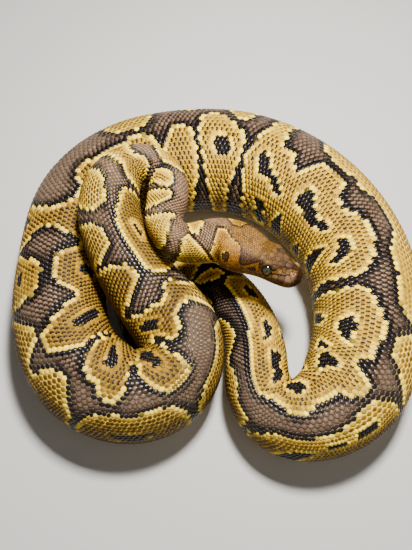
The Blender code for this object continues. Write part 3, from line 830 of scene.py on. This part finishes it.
def head_seeds():
    """All the head's plates: those placed one by one, and rows of small scales between."""
    placed, draws = placed_seeds(), np.random.default_rng(7)
    small, s, row = [], SMALL_START, 0
    while s < HEAD_SKIN_END:
        size = SMALL_SCALE * (0.80 + 0.35 * float(smooth(0.02, 0.05, s)))
        girth = float(section_radius(np.array([s]))[0]) * 2 * math.pi * GIRTH_SHARE
        count = int(girth / size)
        for column in range(count):
            angle = ((column + 0.5 * (row % 2)) / count * 2 - 1) * math.pi
            jitter = draws.normal(0, SMALL_JITTER, 2)
            small.append((s + jitter[0] * size, angle + jitter[1] * 2 * math.pi / count, 0.0))
        s += size * ROW_STEP
        row += 1
    small = np.array(small)
    points, others = solid_point(small[:, 0], small[:, 1]), solid_point(placed[:, 0], placed[:, 1])
    gap = np.linalg.norm(points[:, None] - others[None], axis=2) - placed[None, :, 2]
    return np.concatenate([placed, small[gap.min(1) > KEEP_OFF]])


SEEDS = head_seeds()
print(len(SEEDS), "plates on the head")

# %% [markdown]
# ## The head's relief
#
# Under the plates lie soft forms: brows, ridges to the nose, cheeks and lips.
# Each is a low bell-shaped hill or hollow. The plates, the mouth line, the heat
# pits on the lips and the nostrils are added to them, and all of it moves the
# skin's own points, so the head stays one surface.

# %% The head's relief
EYE_SINK = 0.0003
# distance behind the snout tip, degrees from the back, length, width in degrees, rise in mm
HEAD_FORMS = [
    (20.2, 42, 3.2, 12, 0.85), (16.8, 30, 2.0, 8, 0.50), (13.5, 18, 2.0, 7, 0.45),
    (9.5, 6, 2.6, 7, 0.45), (24.6, 60, 2.6, 14, -0.40), (25.0, 30, 2.4, 14, -0.25),
    (14.4, 60, 2.0, 8, -0.45), (11.4, 47, 2.2, 8, -0.60), (8.6, 33, 2.0, 8, -0.60),
    (18.6, 0, 4.5, 12, -0.35), (7.1, 75, 2.2, 14, 0.50), (10.1, 78, 1.6, 10, 0.30),
    (13.3, 82, 1.6, 10, 0.30), (13.5, 82, 4.5, 14, 0.20), (22, 96, 7.0, 10, 0.25),
    (36, 78, 7.0, 26, 0.25), (14.5, 0, 3.0, 9, 0.10),
]
PLATE_EDGE, PLATE_RISE, PLATE_SWELL, GROOVE_SHARE = 0.0011, 0.00024, 2.2, 0.32
PLATE_REACH = 0.0075             # no point lies further than this from its plate's seed
MOUTH_WIDTH, MOUTH_DEPTH = 0.00022, 0.00045
PIT_WIDTH, NOSTRIL_WIDTH, PIT_DEPTH, NOSTRIL_SHARE = 0.00045, 0.00055, 0.0005, 1.3
NOSTRIL_RIM, NOSTRIL_RISE, EYE_GROOVE = 0.0012, 0.00028, 0.00025
PLATE_TINT, DARK_PLATES, DARK_PLATE_TINT = 0.15, 0.14, 0.62


def bell(distance, width):
    """1 at no distance, fading softly to nothing over about two widths."""
    return np.exp(-(distance / width) ** 2)


def eye_centre(side):
    """The middle of the right eye (1) or the left one (-1), a little sunk into the head."""
    centre, right, up, _, _ = axis_frame(np.array([EYE_PLACE[0]]))
    return centre[0] + right[0] * (EYE_PLACE[1] - EYE_SINK) * side + up[0] * EYE_PLACE[2]


def both_sides(place):
    """The right and left points on the head for a place in millimetres and degrees."""
    return solid_point(np.array([place[0] / 1000] * 2), np.radians([place[1], -place[1]]))


def away_from(points, place):
    """The distance of each point from a place."""
    return np.linalg.norm(points - place, axis=1)


def head_form(s, angle):
    """The soft forms of the head in metres: brows, the ridges to the nose, hollows below, lips."""
    s_mm, degrees = s * 1000, np.abs(np.degrees(angle))
    return sum(height * bell(s_mm - at, length) * bell(degrees - turn, width)
               for at, turn, length, width, height in HEAD_FORMS) / 1000


def nearest_plates(points):
    """How far in from its plate's edge each point is, 0 to 1, and which plate that is."""
    nearest, second = np.full((2, len(points)), 9.0)
    owner = np.zeros(len(points), int)
    for number, (place, size) in enumerate(zip(solid_point(SEEDS[:, 0], SEEDS[:, 1]), SEEDS[:, 2])):
        close = np.flatnonzero(np.abs(points - place).max(1) < PLATE_REACH)
        away = away_from(points[close], place) - size
        second[close] = np.minimum(second[close], np.maximum(away, nearest[close]))
        owner[close] = np.where(away < nearest[close], number, owner[close])
        nearest[close] = np.minimum(nearest[close], away)
    return np.clip((second - nearest) / PLATE_EDGE, 0, 1), owner


def head_relief(s, angle, points):
    """How far the head's plates stand out, how much painted shade each point gets in grooves, pits and
    the mouth line, and its tint.
    """
    edge, owner = nearest_plates(points)
    rise = PLATE_RISE * (1 - (1 - edge) ** PLATE_SWELL)
    groove = bell(edge, GROOVE_SHARE)
    centre, _, up, _, _ = axis_frame(s)
    above = ((points - centre) * up).sum(1)
    mouth = bell(above - np.interp(s, MOUTH[:, 0], MOUTH[:, 1]), MOUTH_WIDTH)
    mouth = mouth * smooth(0.0425, 0.0400, s) * smooth(0.9, 1.2, np.abs(angle))
    for side in (-1, 1):
        rim = bell(away_from(points, eye_centre(side)) - EYE_RADIUS - 0.00015, 0.0003)
        rise = rise - EYE_GROOVE * rim
        groove = np.maximum(groove, rim)
    pits = np.zeros(len(s))
    for place in PITS:
        for spot in both_sides(place):
            pits = np.maximum(pits, bell(away_from(points, spot), PIT_WIDTH))
    for spot in both_sides(NOSTRIL):
        away = away_from(points, spot)
        pits = np.maximum(pits, NOSTRIL_SHARE * bell(away, NOSTRIL_WIDTH))
        rise = rise + NOSTRIL_RISE * bell(away - NOSTRIL_RIM, PIT_WIDTH)
    # Painted shade: grooves, the eye's rim, the mouth line, the heat pits and the nostrils darken the
    # colour there.
    shade = np.clip(np.maximum(groove, np.maximum(mouth, pits)), 0, 1)
    draws = np.random.default_rng(5)
    tint = np.exp(draws.normal(0, PLATE_TINT, len(SEEDS)))
    tint = tint * np.where(draws.random(len(SEEDS)) < DARK_PLATES, DARK_PLATE_TINT, 1)
    return rise + head_form(s, angle) - MOUTH_DEPTH * mouth - PIT_DEPTH * pits, shade, tint[owner]


print(len(HEAD_FORMS), "soft forms on each side of the head")

# %% [markdown]
# ## The skin
#
# The skin is one closed tube of rings from the snout tip to the tail tip, so it
# has no seam. It is fine on the head, where its own relief shows, and coarser on
# the body, where the scales cover it. Between them it shows as thin lines, dark
# where the scales crowd and pale where they stand apart.

# %% Colours of the head
CHEEK, CHEEK_BACK = rgb(160, 106, 32), rgb(170, 120, 38)
SNOUT_FRONT, SNOUT_BACK = rgb(60, 43, 28), rgb(90, 65, 40)
SNOUT_SIDE, SNOUT_TIP, SNOUT_SHADOW_LINE = rgb(122, 82, 30), rgb(42, 25, 13), rgb(24, 11, 4)
LIP_FRONT, LIP_BACK = rgb(116, 86, 60), rgb(140, 104, 62)
OVER_EYE, ROUND_EYE, NOSTRIL_HIGHLIGHT = rgb(84, 62, 25), rgb(22, 16, 10), rgb(190, 152, 112)
# Lines along the snout, where shadow is painted under the ridge and in the groove
# above the lip: distances in mm, and degrees from the back at each.
LIP_TOP = ((3, 5, 8, 9.6, 12, 15.6, 22, 32, 41), (30, 34, 42, 52, 61, 71, 88, 92, 96))
RIDGE = ((3, 6, 8, 9.3, 11.6, 12.1, 14.1, 14.8, 16.4), (6, 8, 10, 18, 22, 31, 35, 50, 57))
PLATE_SHADE, GROOVE_SHADE, LINE_STRENGTH = 0.86, 0.76, 0.97


def head_colours(s, angle, groove, gaps, points, tint):
    """The head's colours: tan crown, gold cheek, dark eye stripe, painted shade in the grooves, painted
    shadow along the snout's lines and a painted highlight on the nostril rims.
    """
    light, _, _ = depths(s, angle)
    s_mm, degrees = s * 1000, np.abs(np.degrees(angle))
    dark, _ = dark_tone(s, angle, light)
    cheek = graded(CHEEK, CHEEK_BACK, 34, 50, s_mm)
    plates = mix(dark, cheek, smooth(-0.3, 0.3, light))
    edge = smooth(0.75, 0.25, np.abs(light)) * smooth(19, 22, s_mm) * (degrees < 96)
    plates = mix(plates, HEAD_EDGE, 0.75 * edge)
    plates = mix(plates, graded(SNOUT_FRONT, SNOUT_BACK, 7, 14, s_mm), smooth(24, 19, s_mm))
    plates = plates * (1 - 0.25 * bell(s_mm - 25, 3.5))[:, None]
    lip_top, ridge = np.interp(s_mm, *LIP_TOP), np.interp(s_mm, *RIDGE)
    side = smooth(-3, 3, degrees - ridge) * smooth(3, -3, degrees - lip_top)
    plates = mix(plates, SNOUT_SIDE, side * smooth(17.5, 15.5, s_mm) * smooth(2, 6, s_mm))
    lip = smooth(-4, 4, degrees - lip_top) * smooth(46, 40, s_mm)
    plates = mix(plates, graded(LIP_FRONT, LIP_BACK, 8, 24, s_mm), lip)
    plates = mix(plates, SNOUT_TIP, smooth(5.8, 2.8, s_mm))
    plates = mix(plates, OVER_EYE, 0.9 * bell(s_mm - 20.2, 2.6) * bell(degrees - 40, 13))
    # Painted shadow: dark lines under the snout ridge and in the groove above the lip.
    for line_at, wide in ((ridge, 5.0), (lip_top, 4.2)):
        line = bell(degrees - line_at, wide) * smooth(17.5, 16, s_mm) * smooth(3.5, 6, s_mm)
        plates = mix(plates, SNOUT_SHADOW_LINE, LINE_STRENGTH * line)
    for which in (-1, 1):
        away = away_from(points, eye_centre(which))
        plates = mix(plates, ROUND_EYE, smooth(EYE_RADIUS + 0.0009, EYE_RADIUS + 0.0002, away))
    # Painted highlight: a pale crescent on the nostril's rim.
    ring = np.hypot((s_mm - NOSTRIL[0] + 0.8) / 1.0, (degrees - NOSTRIL[1] - 6) / 9)
    plates = mix(plates, NOSTRIL_HIGHLIGHT, 0.8 * bell(ring - 1, 0.4) * (degrees > NOSTRIL[1]))
    plates = mix(plates, CREAM, 0.8 * flank(angle, 108, 128))
    # Painted shade in the grooves, pits and mouth line; the tint differs at random.
    plates = plates * (PLATE_SHADE * tint * (1 - GROOVE_SHADE * groove))[:, None]
    return mix(gaps, plates, smooth(0.052, 0.046, s))


print("head colours ready")

# %% The skin's rings, its faces, and the skin itself
HEAD_RINGS, HEAD_SIDES, BODY_RINGS, BODY_SHARE = 248, 304, 300, 4
BODY_SIDES = HEAD_SIDES // BODY_SHARE
ENDS = 1e-5                      # the first and last rings lie this far from the tips
SKIN_LOWEST = 0.0001
PROFILE_STEPS = 4001


def head_profile(s):
    """The mean of the half width and the crown's height: rings lie closer where it changes."""
    here = body_at(s)
    width, above, _, _ = section_sizes(s, here[:, 3], here[:, 4])
    return 0.5 * width + 0.5 * above


def head_ring_places():
    """Distances from the snout tip back, with the steps following the profile's own length."""
    fine = ENDS + (HEAD_SKIN_END - ENDS) * np.linspace(0, 1, PROFILE_STEPS) ** 2
    run = np.concatenate([[0], np.cumsum(np.hypot(np.diff(fine), np.diff(head_profile(fine))))])
    return np.interp(np.linspace(0, run[-1], HEAD_RINGS), run, fine)


def skin_faces():
    """Quads of the head and the body, triangles between them, and a fan over each tip."""
    count = HEAD_RINGS * HEAD_SIDES
    faces = tube_faces(HEAD_RINGS, HEAD_SIDES)[:, ::-1].tolist()
    last, middle = count - HEAD_SIDES, BODY_SHARE // 2
    for side in range(BODY_SIDES):
        fine = [last + (BODY_SHARE * side + k) % HEAD_SIDES for k in range(BODY_SHARE + 1)]
        here, after = count + side, count + (side + 1) % BODY_SIDES
        faces += [[here, fine[k + 1], fine[k]] for k in range(middle)]
        faces += [[after, fine[middle], here]]
        faces += [[after, fine[k + 1], fine[k]] for k in range(middle, BODY_SHARE)]
    faces += (tube_faces(BODY_RINGS, BODY_SIDES)[:, ::-1] + count).tolist()
    snout = count + BODY_RINGS * BODY_SIDES
    tail, end = snout + 1, snout - BODY_SIDES
    faces += [[snout, i, (i + 1) % HEAD_SIDES] for i in range(HEAD_SIDES)]
    faces += [[tail, end + (i + 1) % BODY_SIDES, end + i] for i in range(BODY_SIDES)]
    return faces


def build_skin():
    """One closed surface from snout tip to tail tip, with the head's relief and colours."""
    head_s = head_ring_places()
    body_s = np.linspace(HEAD_SKIN_END, LENGTH - ENDS, BODY_RINGS + 1)[1:]
    head_turn = np.arange(HEAD_SIDES) / HEAD_SIDES * 2 * math.pi - math.pi
    body_turn = head_turn[::BODY_SHARE]
    s = np.concatenate([np.repeat(head_s, HEAD_SIDES), np.repeat(body_s, BODY_SIDES)])
    angle = np.concatenate([np.tile(head_turn, HEAD_RINGS), np.tile(body_turn, BODY_RINGS)])
    normal, _ = outward(s, angle)
    bare = solid_point(s, angle)
    on_head = s <= HEAD_SKIN_END
    rise, dark = np.zeros(len(s)), np.zeros(len(s))
    relief, groove, tint = head_relief(s[on_head], angle[on_head], bare[on_head])
    fade = smooth(0.052, 0.047, s[on_head])
    # dark carries the head's painted shade in grooves, pits and the mouth line.
    rise[on_head], dark[on_head] = relief * fade, groove * fade
    points = bare + normal * (rise - coat_depth(s))[:, None]
    points[:, 2] = np.maximum(points[:, 2], SKIN_LOWEST)
    colours = gap_colours(s, angle)
    colours[on_head] = head_colours(s[on_head], angle[on_head], dark[on_head], colours[on_head],
                                    bare[on_head], tint)
    points = np.vstack([points, points[:HEAD_SIDES].mean(0), points[-BODY_SIDES:].mean(0)])
    colours = np.vstack([colours, colours[0], colours[-1]])
    return make_piece("skin", points, skin_faces(), colours, head_finish)


skin = build_skin()
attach(skin, BODY)
FLESH = [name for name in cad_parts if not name.startswith("eye")]
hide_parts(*FLESH)
print("skin:", len(skin.data.polygons), "faces; stands for", len(FLESH), "solids")

# %% [markdown]
# ## Eyes
#
# A snake has no eyelids: a clear scale, the spectacle, covers the eye. It could
# be a cap of glass, but that costs a surface nobody can tell from gloss at this
# size. So the eye is one ball, turned outwards and a little forwards and up, with
# an iris and an upright pupil painted on it, under a clear coat.

# %% Eyes
EYE_RINGS, EYE_SIDES = 40, 48
EYE_LEAN = (0.93, 0.25, -0.12)   # how far the eye looks sideways, up and back
PUPIL_WIDTH, PUPIL_HEIGHT, IRIS_EDGE = 0.10, 0.42, (0.72, 0.85)
IRIS_IN, IRIS_OUT, PUPIL, EYE_WHITE = rgb(60, 62, 48), rgb(26, 24, 19), rgb(6, 6, 6), rgb(16, 14, 12)


def eye_finish():
    """Wet gloss over the painted iris and pupil."""
    material, nodes, links, shader = new_material("eye")
    tone = nodes.new("ShaderNodeAttribute")
    tone.attribute_name = "tone"
    links.new(tone.outputs["Color"], shader.inputs["Base Color"])
    for socket, value in (("Roughness", 0.08), ("Coat Weight", 1.0), ("Coat Roughness", 0.03)):
        shader.inputs[socket].default_value = value
    return material


def build_eye(name, side):
    """A ball whose first pole is the middle of the pupil."""
    _, right, up, _, _ = axis_frame(np.array([EYE_PLACE[0]]))
    sideways, upward, back = EYE_LEAN
    out = unit(right[0] * side * sideways + up[0] * upward + back * np.cross(right[0], up[0]))
    forward = unit(np.cross(up[0], out)) * side
    top = np.cross(out, forward) * side
    polar = np.linspace(0.001, math.pi - 0.001, EYE_RINGS)
    turn = np.arange(EYE_SIDES) / EYE_SIDES * 2 * math.pi
    p, q = (grid.ravel() for grid in np.meshgrid(polar, turn, indexing="ij"))
    across, upright = np.sin(p) * np.cos(q), np.sin(p) * np.sin(q)
    ball = out * np.cos(p)[:, None] + forward * across[:, None] + top * upright[:, None]
    slit = np.hypot(across / PUPIL_WIDTH, upright / PUPIL_HEIGHT)
    colours = mix(graded(IRIS_IN, IRIS_OUT, 0.30, 0.72, p), PUPIL, smooth(1.15, 0.95, slit) * (p < 1.2))
    colours = mix(colours, EYE_WHITE, smooth(*IRIS_EDGE, p))
    faces = tube_faces(EYE_RINGS, EYE_SIDES)[:, ::side]
    return make_piece(name, eye_centre(side) + ball * EYE_RADIUS, faces, colours, eye_material)


eye_material = eye_finish()
for name, side in (("eye_left", -1), ("eye_right", 1)):
    eye = build_eye(name + "_ball", side)
    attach(eye, BODY)
    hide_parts(name)
print("two eyes of", EYE_RADIUS * 2000, "mm")

# %% [markdown]
# ## One scale
#
# A scale is a rounded lozenge, domed on top, tucked in at the root and a little
# lifted at its free tip. A plain domed disc would look like a bead. So a disc is
# raised, inset twice, each time with its top pushed towards the tip, and closed.

# %% One scale
SCALE_SIDES, TIPWARD = 8, 0.11
SIDE_RISE, STEPS_UP, TOP_RISE = 0.30, ((0.20, 0.38), (0.36, 0.36)), 0.12


def one_scale():
    """Points and faces of a scale of unit size: x to the tail, y round the body, z out."""
    bpy.ops.object.select_all(action="DESELECT")
    bpy.ops.mesh.primitive_circle_add(vertices=SCALE_SIDES, radius=1.0, fill_type="NGON")
    disc = bpy.context.object
    bpy.ops.object.mode_set(mode="EDIT")
    bpy.ops.mesh.select_all(action="SELECT")
    bpy.ops.mesh.extrude_region_move(TRANSFORM_OT_translate={"value": (0, 0, SIDE_RISE)})
    for inset, rise in STEPS_UP:
        bpy.ops.mesh.inset(thickness=inset)
        bpy.ops.transform.translate(value=(TIPWARD, 0, rise))
    bpy.ops.mesh.poke(offset=TOP_RISE)
    bpy.ops.mesh.select_all(action="SELECT")
    bpy.ops.mesh.normals_make_consistent(inside=False)
    bpy.ops.object.mode_set(mode="OBJECT")
    points = np.array([tuple(v.co) for v in disc.data.vertices])
    # Sorted, because extrude gives its side faces another order in each run.
    faces = sorted(list(p.vertices) for p in disc.data.polygons)
    bpy.data.objects.remove(disc)
    return points, faces


unit_points, unit_faces = one_scale()
print("one scale:", len(unit_points), "points,", len(unit_faces), "faces")

# %% [markdown]
# ## Laying the scales
#
# Scales sit in files along the body. They could be scattered and pushed apart,
# but a snake's files are regular. The file down the back is laid first, at even
# steps. Each next file puts a scale half way between two of the last file, as
# bricks are laid. Inside a bend scales crowd together: where two come too close
# they become one, and where a gap opens on the outside one is added.

# %% Where the scales sit
FILES = 30                       # tried on each side; those past the flank are dropped
SCALE_START, TAIL_LEFT = 0.026, 0.0015
FILE_MARGIN = 0.003              # a file may start this far ahead of the first scale
LAST_FILE_ANGLE = math.radians(117)
TOO_CLOSE, TOO_WIDE = 0.66, 1.42   # shares of the pitch
SPINE_STEPS = 4000
# Distances in metres, and the pitch in metres or the step in degrees at each.
PITCH = ((0.025, 0.050, 0.075, 0.13, 0.20, 0.34, 0.50, 0.70, 0.80, 0.88, 0.94, 0.99),
         (0.00115, 0.0015, 0.0019, 0.0023, 0.0025, 0.0027, 0.0029, 0.0028, 0.0026, 0.0023,
          0.0018, 0.0012))
FILE_STEP = ((0.025, 0.036, 0.050, 0.062, 0.10, 0.16, 0.30, 0.75, 0.82, 0.88, 0.93, 0.96, 0.99),
             (5.2, 4.6, 6.0, 6.7, 6.3, 5.6, 5.0, 5.0, 5.4, 6.6, 9.0, 11.5, 17.0))
FLANK_SPREAD = 0.0015            # files are this share wider apart for each degree down
# Degrees from the back, and where the coat starts behind the head's plates at each.
COAT_START = ((0, 45, 62, 86, 96, 110), (0.0270, 0.0275, 0.0290, 0.0300, 0.0440, 0.0470))


def scale_pitch(s):
    """Real distance from one scale to the next in a file, in metres."""
    return np.interp(s, *PITCH)


def file_angle(index, s):
    """The angle of a file at s. Files are wider apart on the flanks than on the back."""
    plain = index * np.interp(s, *FILE_STEP)
    return np.radians(plain * (1 + FLANK_SPREAD * np.abs(plain)))


def lay_file(index, places):
    """Joins scales that are too close, and adds one where the gap is too wide."""
    points = solid_point(places, file_angle(index, places))
    gap = np.linalg.norm(np.diff(points, axis=0), axis=1)
    pitch = scale_pitch(places[:-1])
    kept = [places[0]]
    for i in range(1, len(places)):
        share = gap[i - 1] / pitch[i - 1]
        if share < TOO_CLOSE and i + 1 < len(places):
            kept[-1] = 0.5 * (kept[-1] + places[i])
            gap[i] += 0.5 * gap[i - 1]
            continue
        if share > TOO_WIDE:
            extra = max(1, int(round(share)) - 1)
            kept += [kept[-1] + (places[i] - kept[-1]) * (k + 1) / (extra + 1) for k in range(extra)]
        kept.append(places[i])
    return np.array(kept)


def lay_spine():
    """The file down the back: places at even steps of the pitch."""
    fine = np.linspace(SCALE_START, LENGTH - TAIL_LEFT, SPINE_STEPS)
    back = solid_point(fine, np.zeros(SPINE_STEPS))
    along = np.concatenate([[0], np.cumsum(np.linalg.norm(np.diff(back, axis=0), axis=1))])
    count = np.concatenate([[0], np.cumsum(np.diff(along) / scale_pitch(fine[:-1]))])
    return np.interp(np.arange(int(count[-1])), count, fine)


def lay_all_files():
    """Rows of (place, gap ahead, gap behind, file) for every scale."""
    spine, rows = lay_spine(), []
    for side in (1, -1):
        places = spine
        for step in range(0 if side > 0 else 1, FILES):
            index = side * step
            if step:
                middles = 0.5 * (places[:-1] + places[1:])
                places = lay_file(index, np.concatenate([[2 * places[0] - middles[0]], middles]))
                places = places[places > SCALE_START - FILE_MARGIN]
            before = np.diff(places, prepend=2 * places[0] - places[1])
            after = np.diff(places, append=2 * places[-1] - places[-2])
            rows.append(np.c_[places, before, after, np.full(len(places), index)])
    rows = np.vstack(rows)
    turn = np.abs(file_angle(rows[:, 3], rows[:, 0]))
    starts = np.interp(np.degrees(turn), *COAT_START)
    return rows[(turn < LAST_FILE_ANGLE) & (rows[:, 0] > starts)]


LAID = lay_all_files()
print(len(LAID), "scales in", len(np.unique(LAID[:, 3])), "files")

# %% [markdown]
# ## Shaping the scales on the body
#
# Each laid scale gets a copy of the one scale, sized to its neighbours' gaps and
# bent onto the body. Fourteen thousand objects would be slow, so the copies are
# worked out as arrays and joined in seven lengths of coat. A touch lighter or
# darker at random, each scale takes its four tones from the marking under it.

# %% Scales on the body
ROOT_REACH, TIP_REACH, HALF_WIDTH = 0.60, 0.64, 0.68
PLACE_JITTER, DRAWN_APART = 0.035, 0.12   # shares of a gap, and of a scale's size
THICKNESS = ((0.030, 0.070), (0.13, 0.19))   # shares of the pitch at two distances
ROOT_SINK, ROOT_LOW = 0.10, 0.45
PINCH = 1.35                     # 1 would make the outline a lozenge, 2 a circle
TOP, SHOULDER, SKIRT = 0.95, 0.60, 0.20   # heights of the unit scale that part its tones
PATCH_RADIUS = 0.0032            # of a scale on the map OFBake, whose square is 1 across
MAP_ALONG, MAP_ROUND = (0.96, 0.02), (0.9, 0.05)   # share of the square used, and its margin


def lozenge(points):
    """The round unit outline, drawn out towards a lozenge with a blunt tip."""
    x, y = points[:, 0], points[:, 1]
    size = np.maximum(np.hypot(x, y), 1e-9)
    turn = np.arctan2(y, x)
    pinch = 1 / (np.abs(np.cos(turn)) ** PINCH + np.abs(np.sin(turn)) ** PINCH) ** (1 / PINCH)
    return size * pinch * np.cos(turn), size * pinch * np.sin(turn)


def painted(tones, shape_x, shape_y, height, net):
    """A colour for every point: middle, ring or tip by its height, and root where it is tucked in."""
    which = np.select([height > TOP, height > SHOULDER], [0, 1], 2)
    colours = tones[:, which]
    # The tucked-in root and the scale's low walls take the root tone, which is partly painted shade.
    root = smooth(0.24, -0.22, shape_x) * (np.abs(shape_y) < 0.8) * (height > SKIRT)
    root = np.maximum(root, (height < SKIRT) * 1.0)[None] * (1 - net[:, None] * (height > SHOULDER))
    return (colours + (tones[:, 3:4] - colours) * root[:, :, None]).reshape(-1, 3)


def map_places(centre_s, centre_angle, shape_x, shape_y):
    """Each scale's patch on OFBake, at its root's place on an unwrap of the body."""
    share = (centre_s - centre_s.min()) / (centre_s.max() - centre_s.min())
    spot = np.c_[share * MAP_ALONG[0] + MAP_ALONG[1],
                 (centre_angle / (2 * math.pi) + 0.5) * MAP_ROUND[0] + MAP_ROUND[1]]
    patch = np.c_[shape_x, shape_y] * PATCH_RADIUS
    return (spot[:, None, :] + patch[None]).reshape(-1, 2)


def build_scales(name, rows, draws):
    """One length of coat from its rows of scales."""
    shape_x, shape_y = lozenge(unit_points)
    height, per = unit_points[:, 2], len(unit_points)
    place, before, after, index = (rows[:, i][:, None] for i in range(4))
    jitter = draws.normal(0, PLACE_JITTER, (len(rows), 2))
    centre_s, centre_angle = place[:, 0], file_angle(index, place)[:, 0]
    apart = 1 - DRAWN_APART * drawn_out(centre_s, centre_angle)[:, None]
    reach = np.where(shape_x[None] < 0, before * ROOT_REACH, after * TIP_REACH) * apart
    s = np.clip(place + shape_x[None] * reach + jitter[:, :1] * after, 1e-4, LENGTH - 1e-4)
    width = file_angle(np.abs(index) + 1, place) - file_angle(np.abs(index), place)
    angle = file_angle(index, s) + (shape_y[None] * HALF_WIDTH * apart + jitter[:, 1:]) * width
    thick = scale_pitch(place) * np.interp(place, *THICKNESS)
    lean = ROOT_LOW + (1 - ROOT_LOW) * smooth(-1, 0.8, shape_x)[None]
    lift = thick * (height[None] * lean - ROOT_SINK)
    points = skin_point(s.ravel(), angle.ravel(), lift.ravel())
    tones, polish, net = scale_colours(centre_s, centre_angle, draws)
    colours = painted(tones, shape_x, shape_y, height, net)
    faces = [[c + n * per for c in face] for n in range(len(rows)) for face in unit_faces]
    places = map_places(centre_s, centre_angle, shape_x, shape_y)
    return make_piece(name, points, faces, colours, scale_finish, places, polish.repeat(per))


COAT_LENGTHS = [
    ("coat_nape", 0.0, 0.10), ("coat_neck", 0.10, 0.21), ("coat_left", 0.21, 0.36),
    ("coat_back_left", 0.36, 0.50), ("coat_back_right", 0.50, 0.66), ("coat_right", 0.66, 0.80),
    ("coat_tail", 0.80, 1.1),
]
draws = np.random.default_rng(11)
for name, start, end in COAT_LENGTHS:
    rows = LAID[(LAID[:, 0] >= start) & (LAID[:, 0] < end)]
    coat = build_scales(name, rows, draws)
    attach(coat, BODY)
    triangles = sum(len(p.vertices) - 2 for p in coat.data.polygons)
    print(name, len(rows), "scales,", triangles, "triangles")

# %% [markdown]
# ## The belly plates
#
# Under the body lies one row of broad plates, cream and smooth, each lapping the
# next like roof tiles. A strip of plain skin would do from above, but the model
# can be turned over. Each plate is a bent strip of quads that rises towards its
# free edge, and it reaches a little under the last file of scales.

# %% Belly plates
PLATE_START, PLATE_END, PLATE_SIDES = 0.048, 0.004, 18
PLATE_PITCH = ((0.04, 0.10, 0.30, 0.75, 0.90, 0.99), (0.0026, 0.0034, 0.0046, 0.0046, 0.0030, 0.0016))
UNDER_SCALES = math.radians(3.5)
PLATE_ALONG = np.array([-0.05, 0.35, 0.85, 1.12, 1.12])   # shares of the pitch
PLATE_LIFT = np.array([0.0, 0.10, 0.16, 0.20, 0.02])
PLATE_LIFT_SHARE, FREE_EDGE_SHADE = 0.55, 0.86


def plate_pitch(s):
    """From one belly plate to the next, in metres."""
    return np.interp(s, *PLATE_PITCH)


def build_belly():
    """One row of lapping plates from the throat to the tail tip."""
    places = [PLATE_START]
    while places[-1] < LENGTH - PLATE_END:
        places.append(places[-1] + float(plate_pitch(places[-1])))
    places = np.array(places)
    pitch, count = plate_pitch(places)[:, None], len(places)
    rows, side = len(PLATE_ALONG), PLATE_SIDES + 1
    a, b = (grid.ravel() for grid in np.meshgrid(np.arange(rows), np.arange(side), indexing="ij"))
    across = np.linspace(-1, 1, side)[b]
    s = np.clip(places[:, None] + PLATE_ALONG[a][None] * pitch, 1e-4, LENGTH - 1e-4)
    angle = np.pi + across[None] * (math.pi - LAST_FILE_ANGLE + UNDER_SCALES) + 0 * s
    angle = np.where(angle > np.pi, angle - 2 * np.pi, angle)
    lift = (PLATE_LIFT[a] * (1 - np.abs(across) ** 8))[None] * pitch * PLATE_LIFT_SHARE
    points = skin_point(s.ravel(), angle.ravel(), lift.ravel())
    faces = []
    for first in (n * rows * side + row * side + column for n in range(count)
                  for row in range(rows - 1) for column in range(PLATE_SIDES)):
        faces.append([first, first + 1, first + side + 1, first + side])
    shade = np.tile(np.where(PLATE_LIFT[a] > 0.15, FREE_EDGE_SHADE, 1.0), count)
    share = (PLATE_ALONG[a] - PLATE_ALONG[0]) / np.ptp(PLATE_ALONG)
    strip = (np.arange(count)[:, None] + 0.9 * share[None]) / count
    maps = np.c_[strip.ravel(), np.tile(0.5 + 0.45 * across, count)]
    return make_piece("belly_plates", points, faces, CREAM * shade[:, None], belly_finish, maps)


belly = build_belly()
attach(belly, BODY)
print("belly plates:", len(belly.data.polygons), "faces")
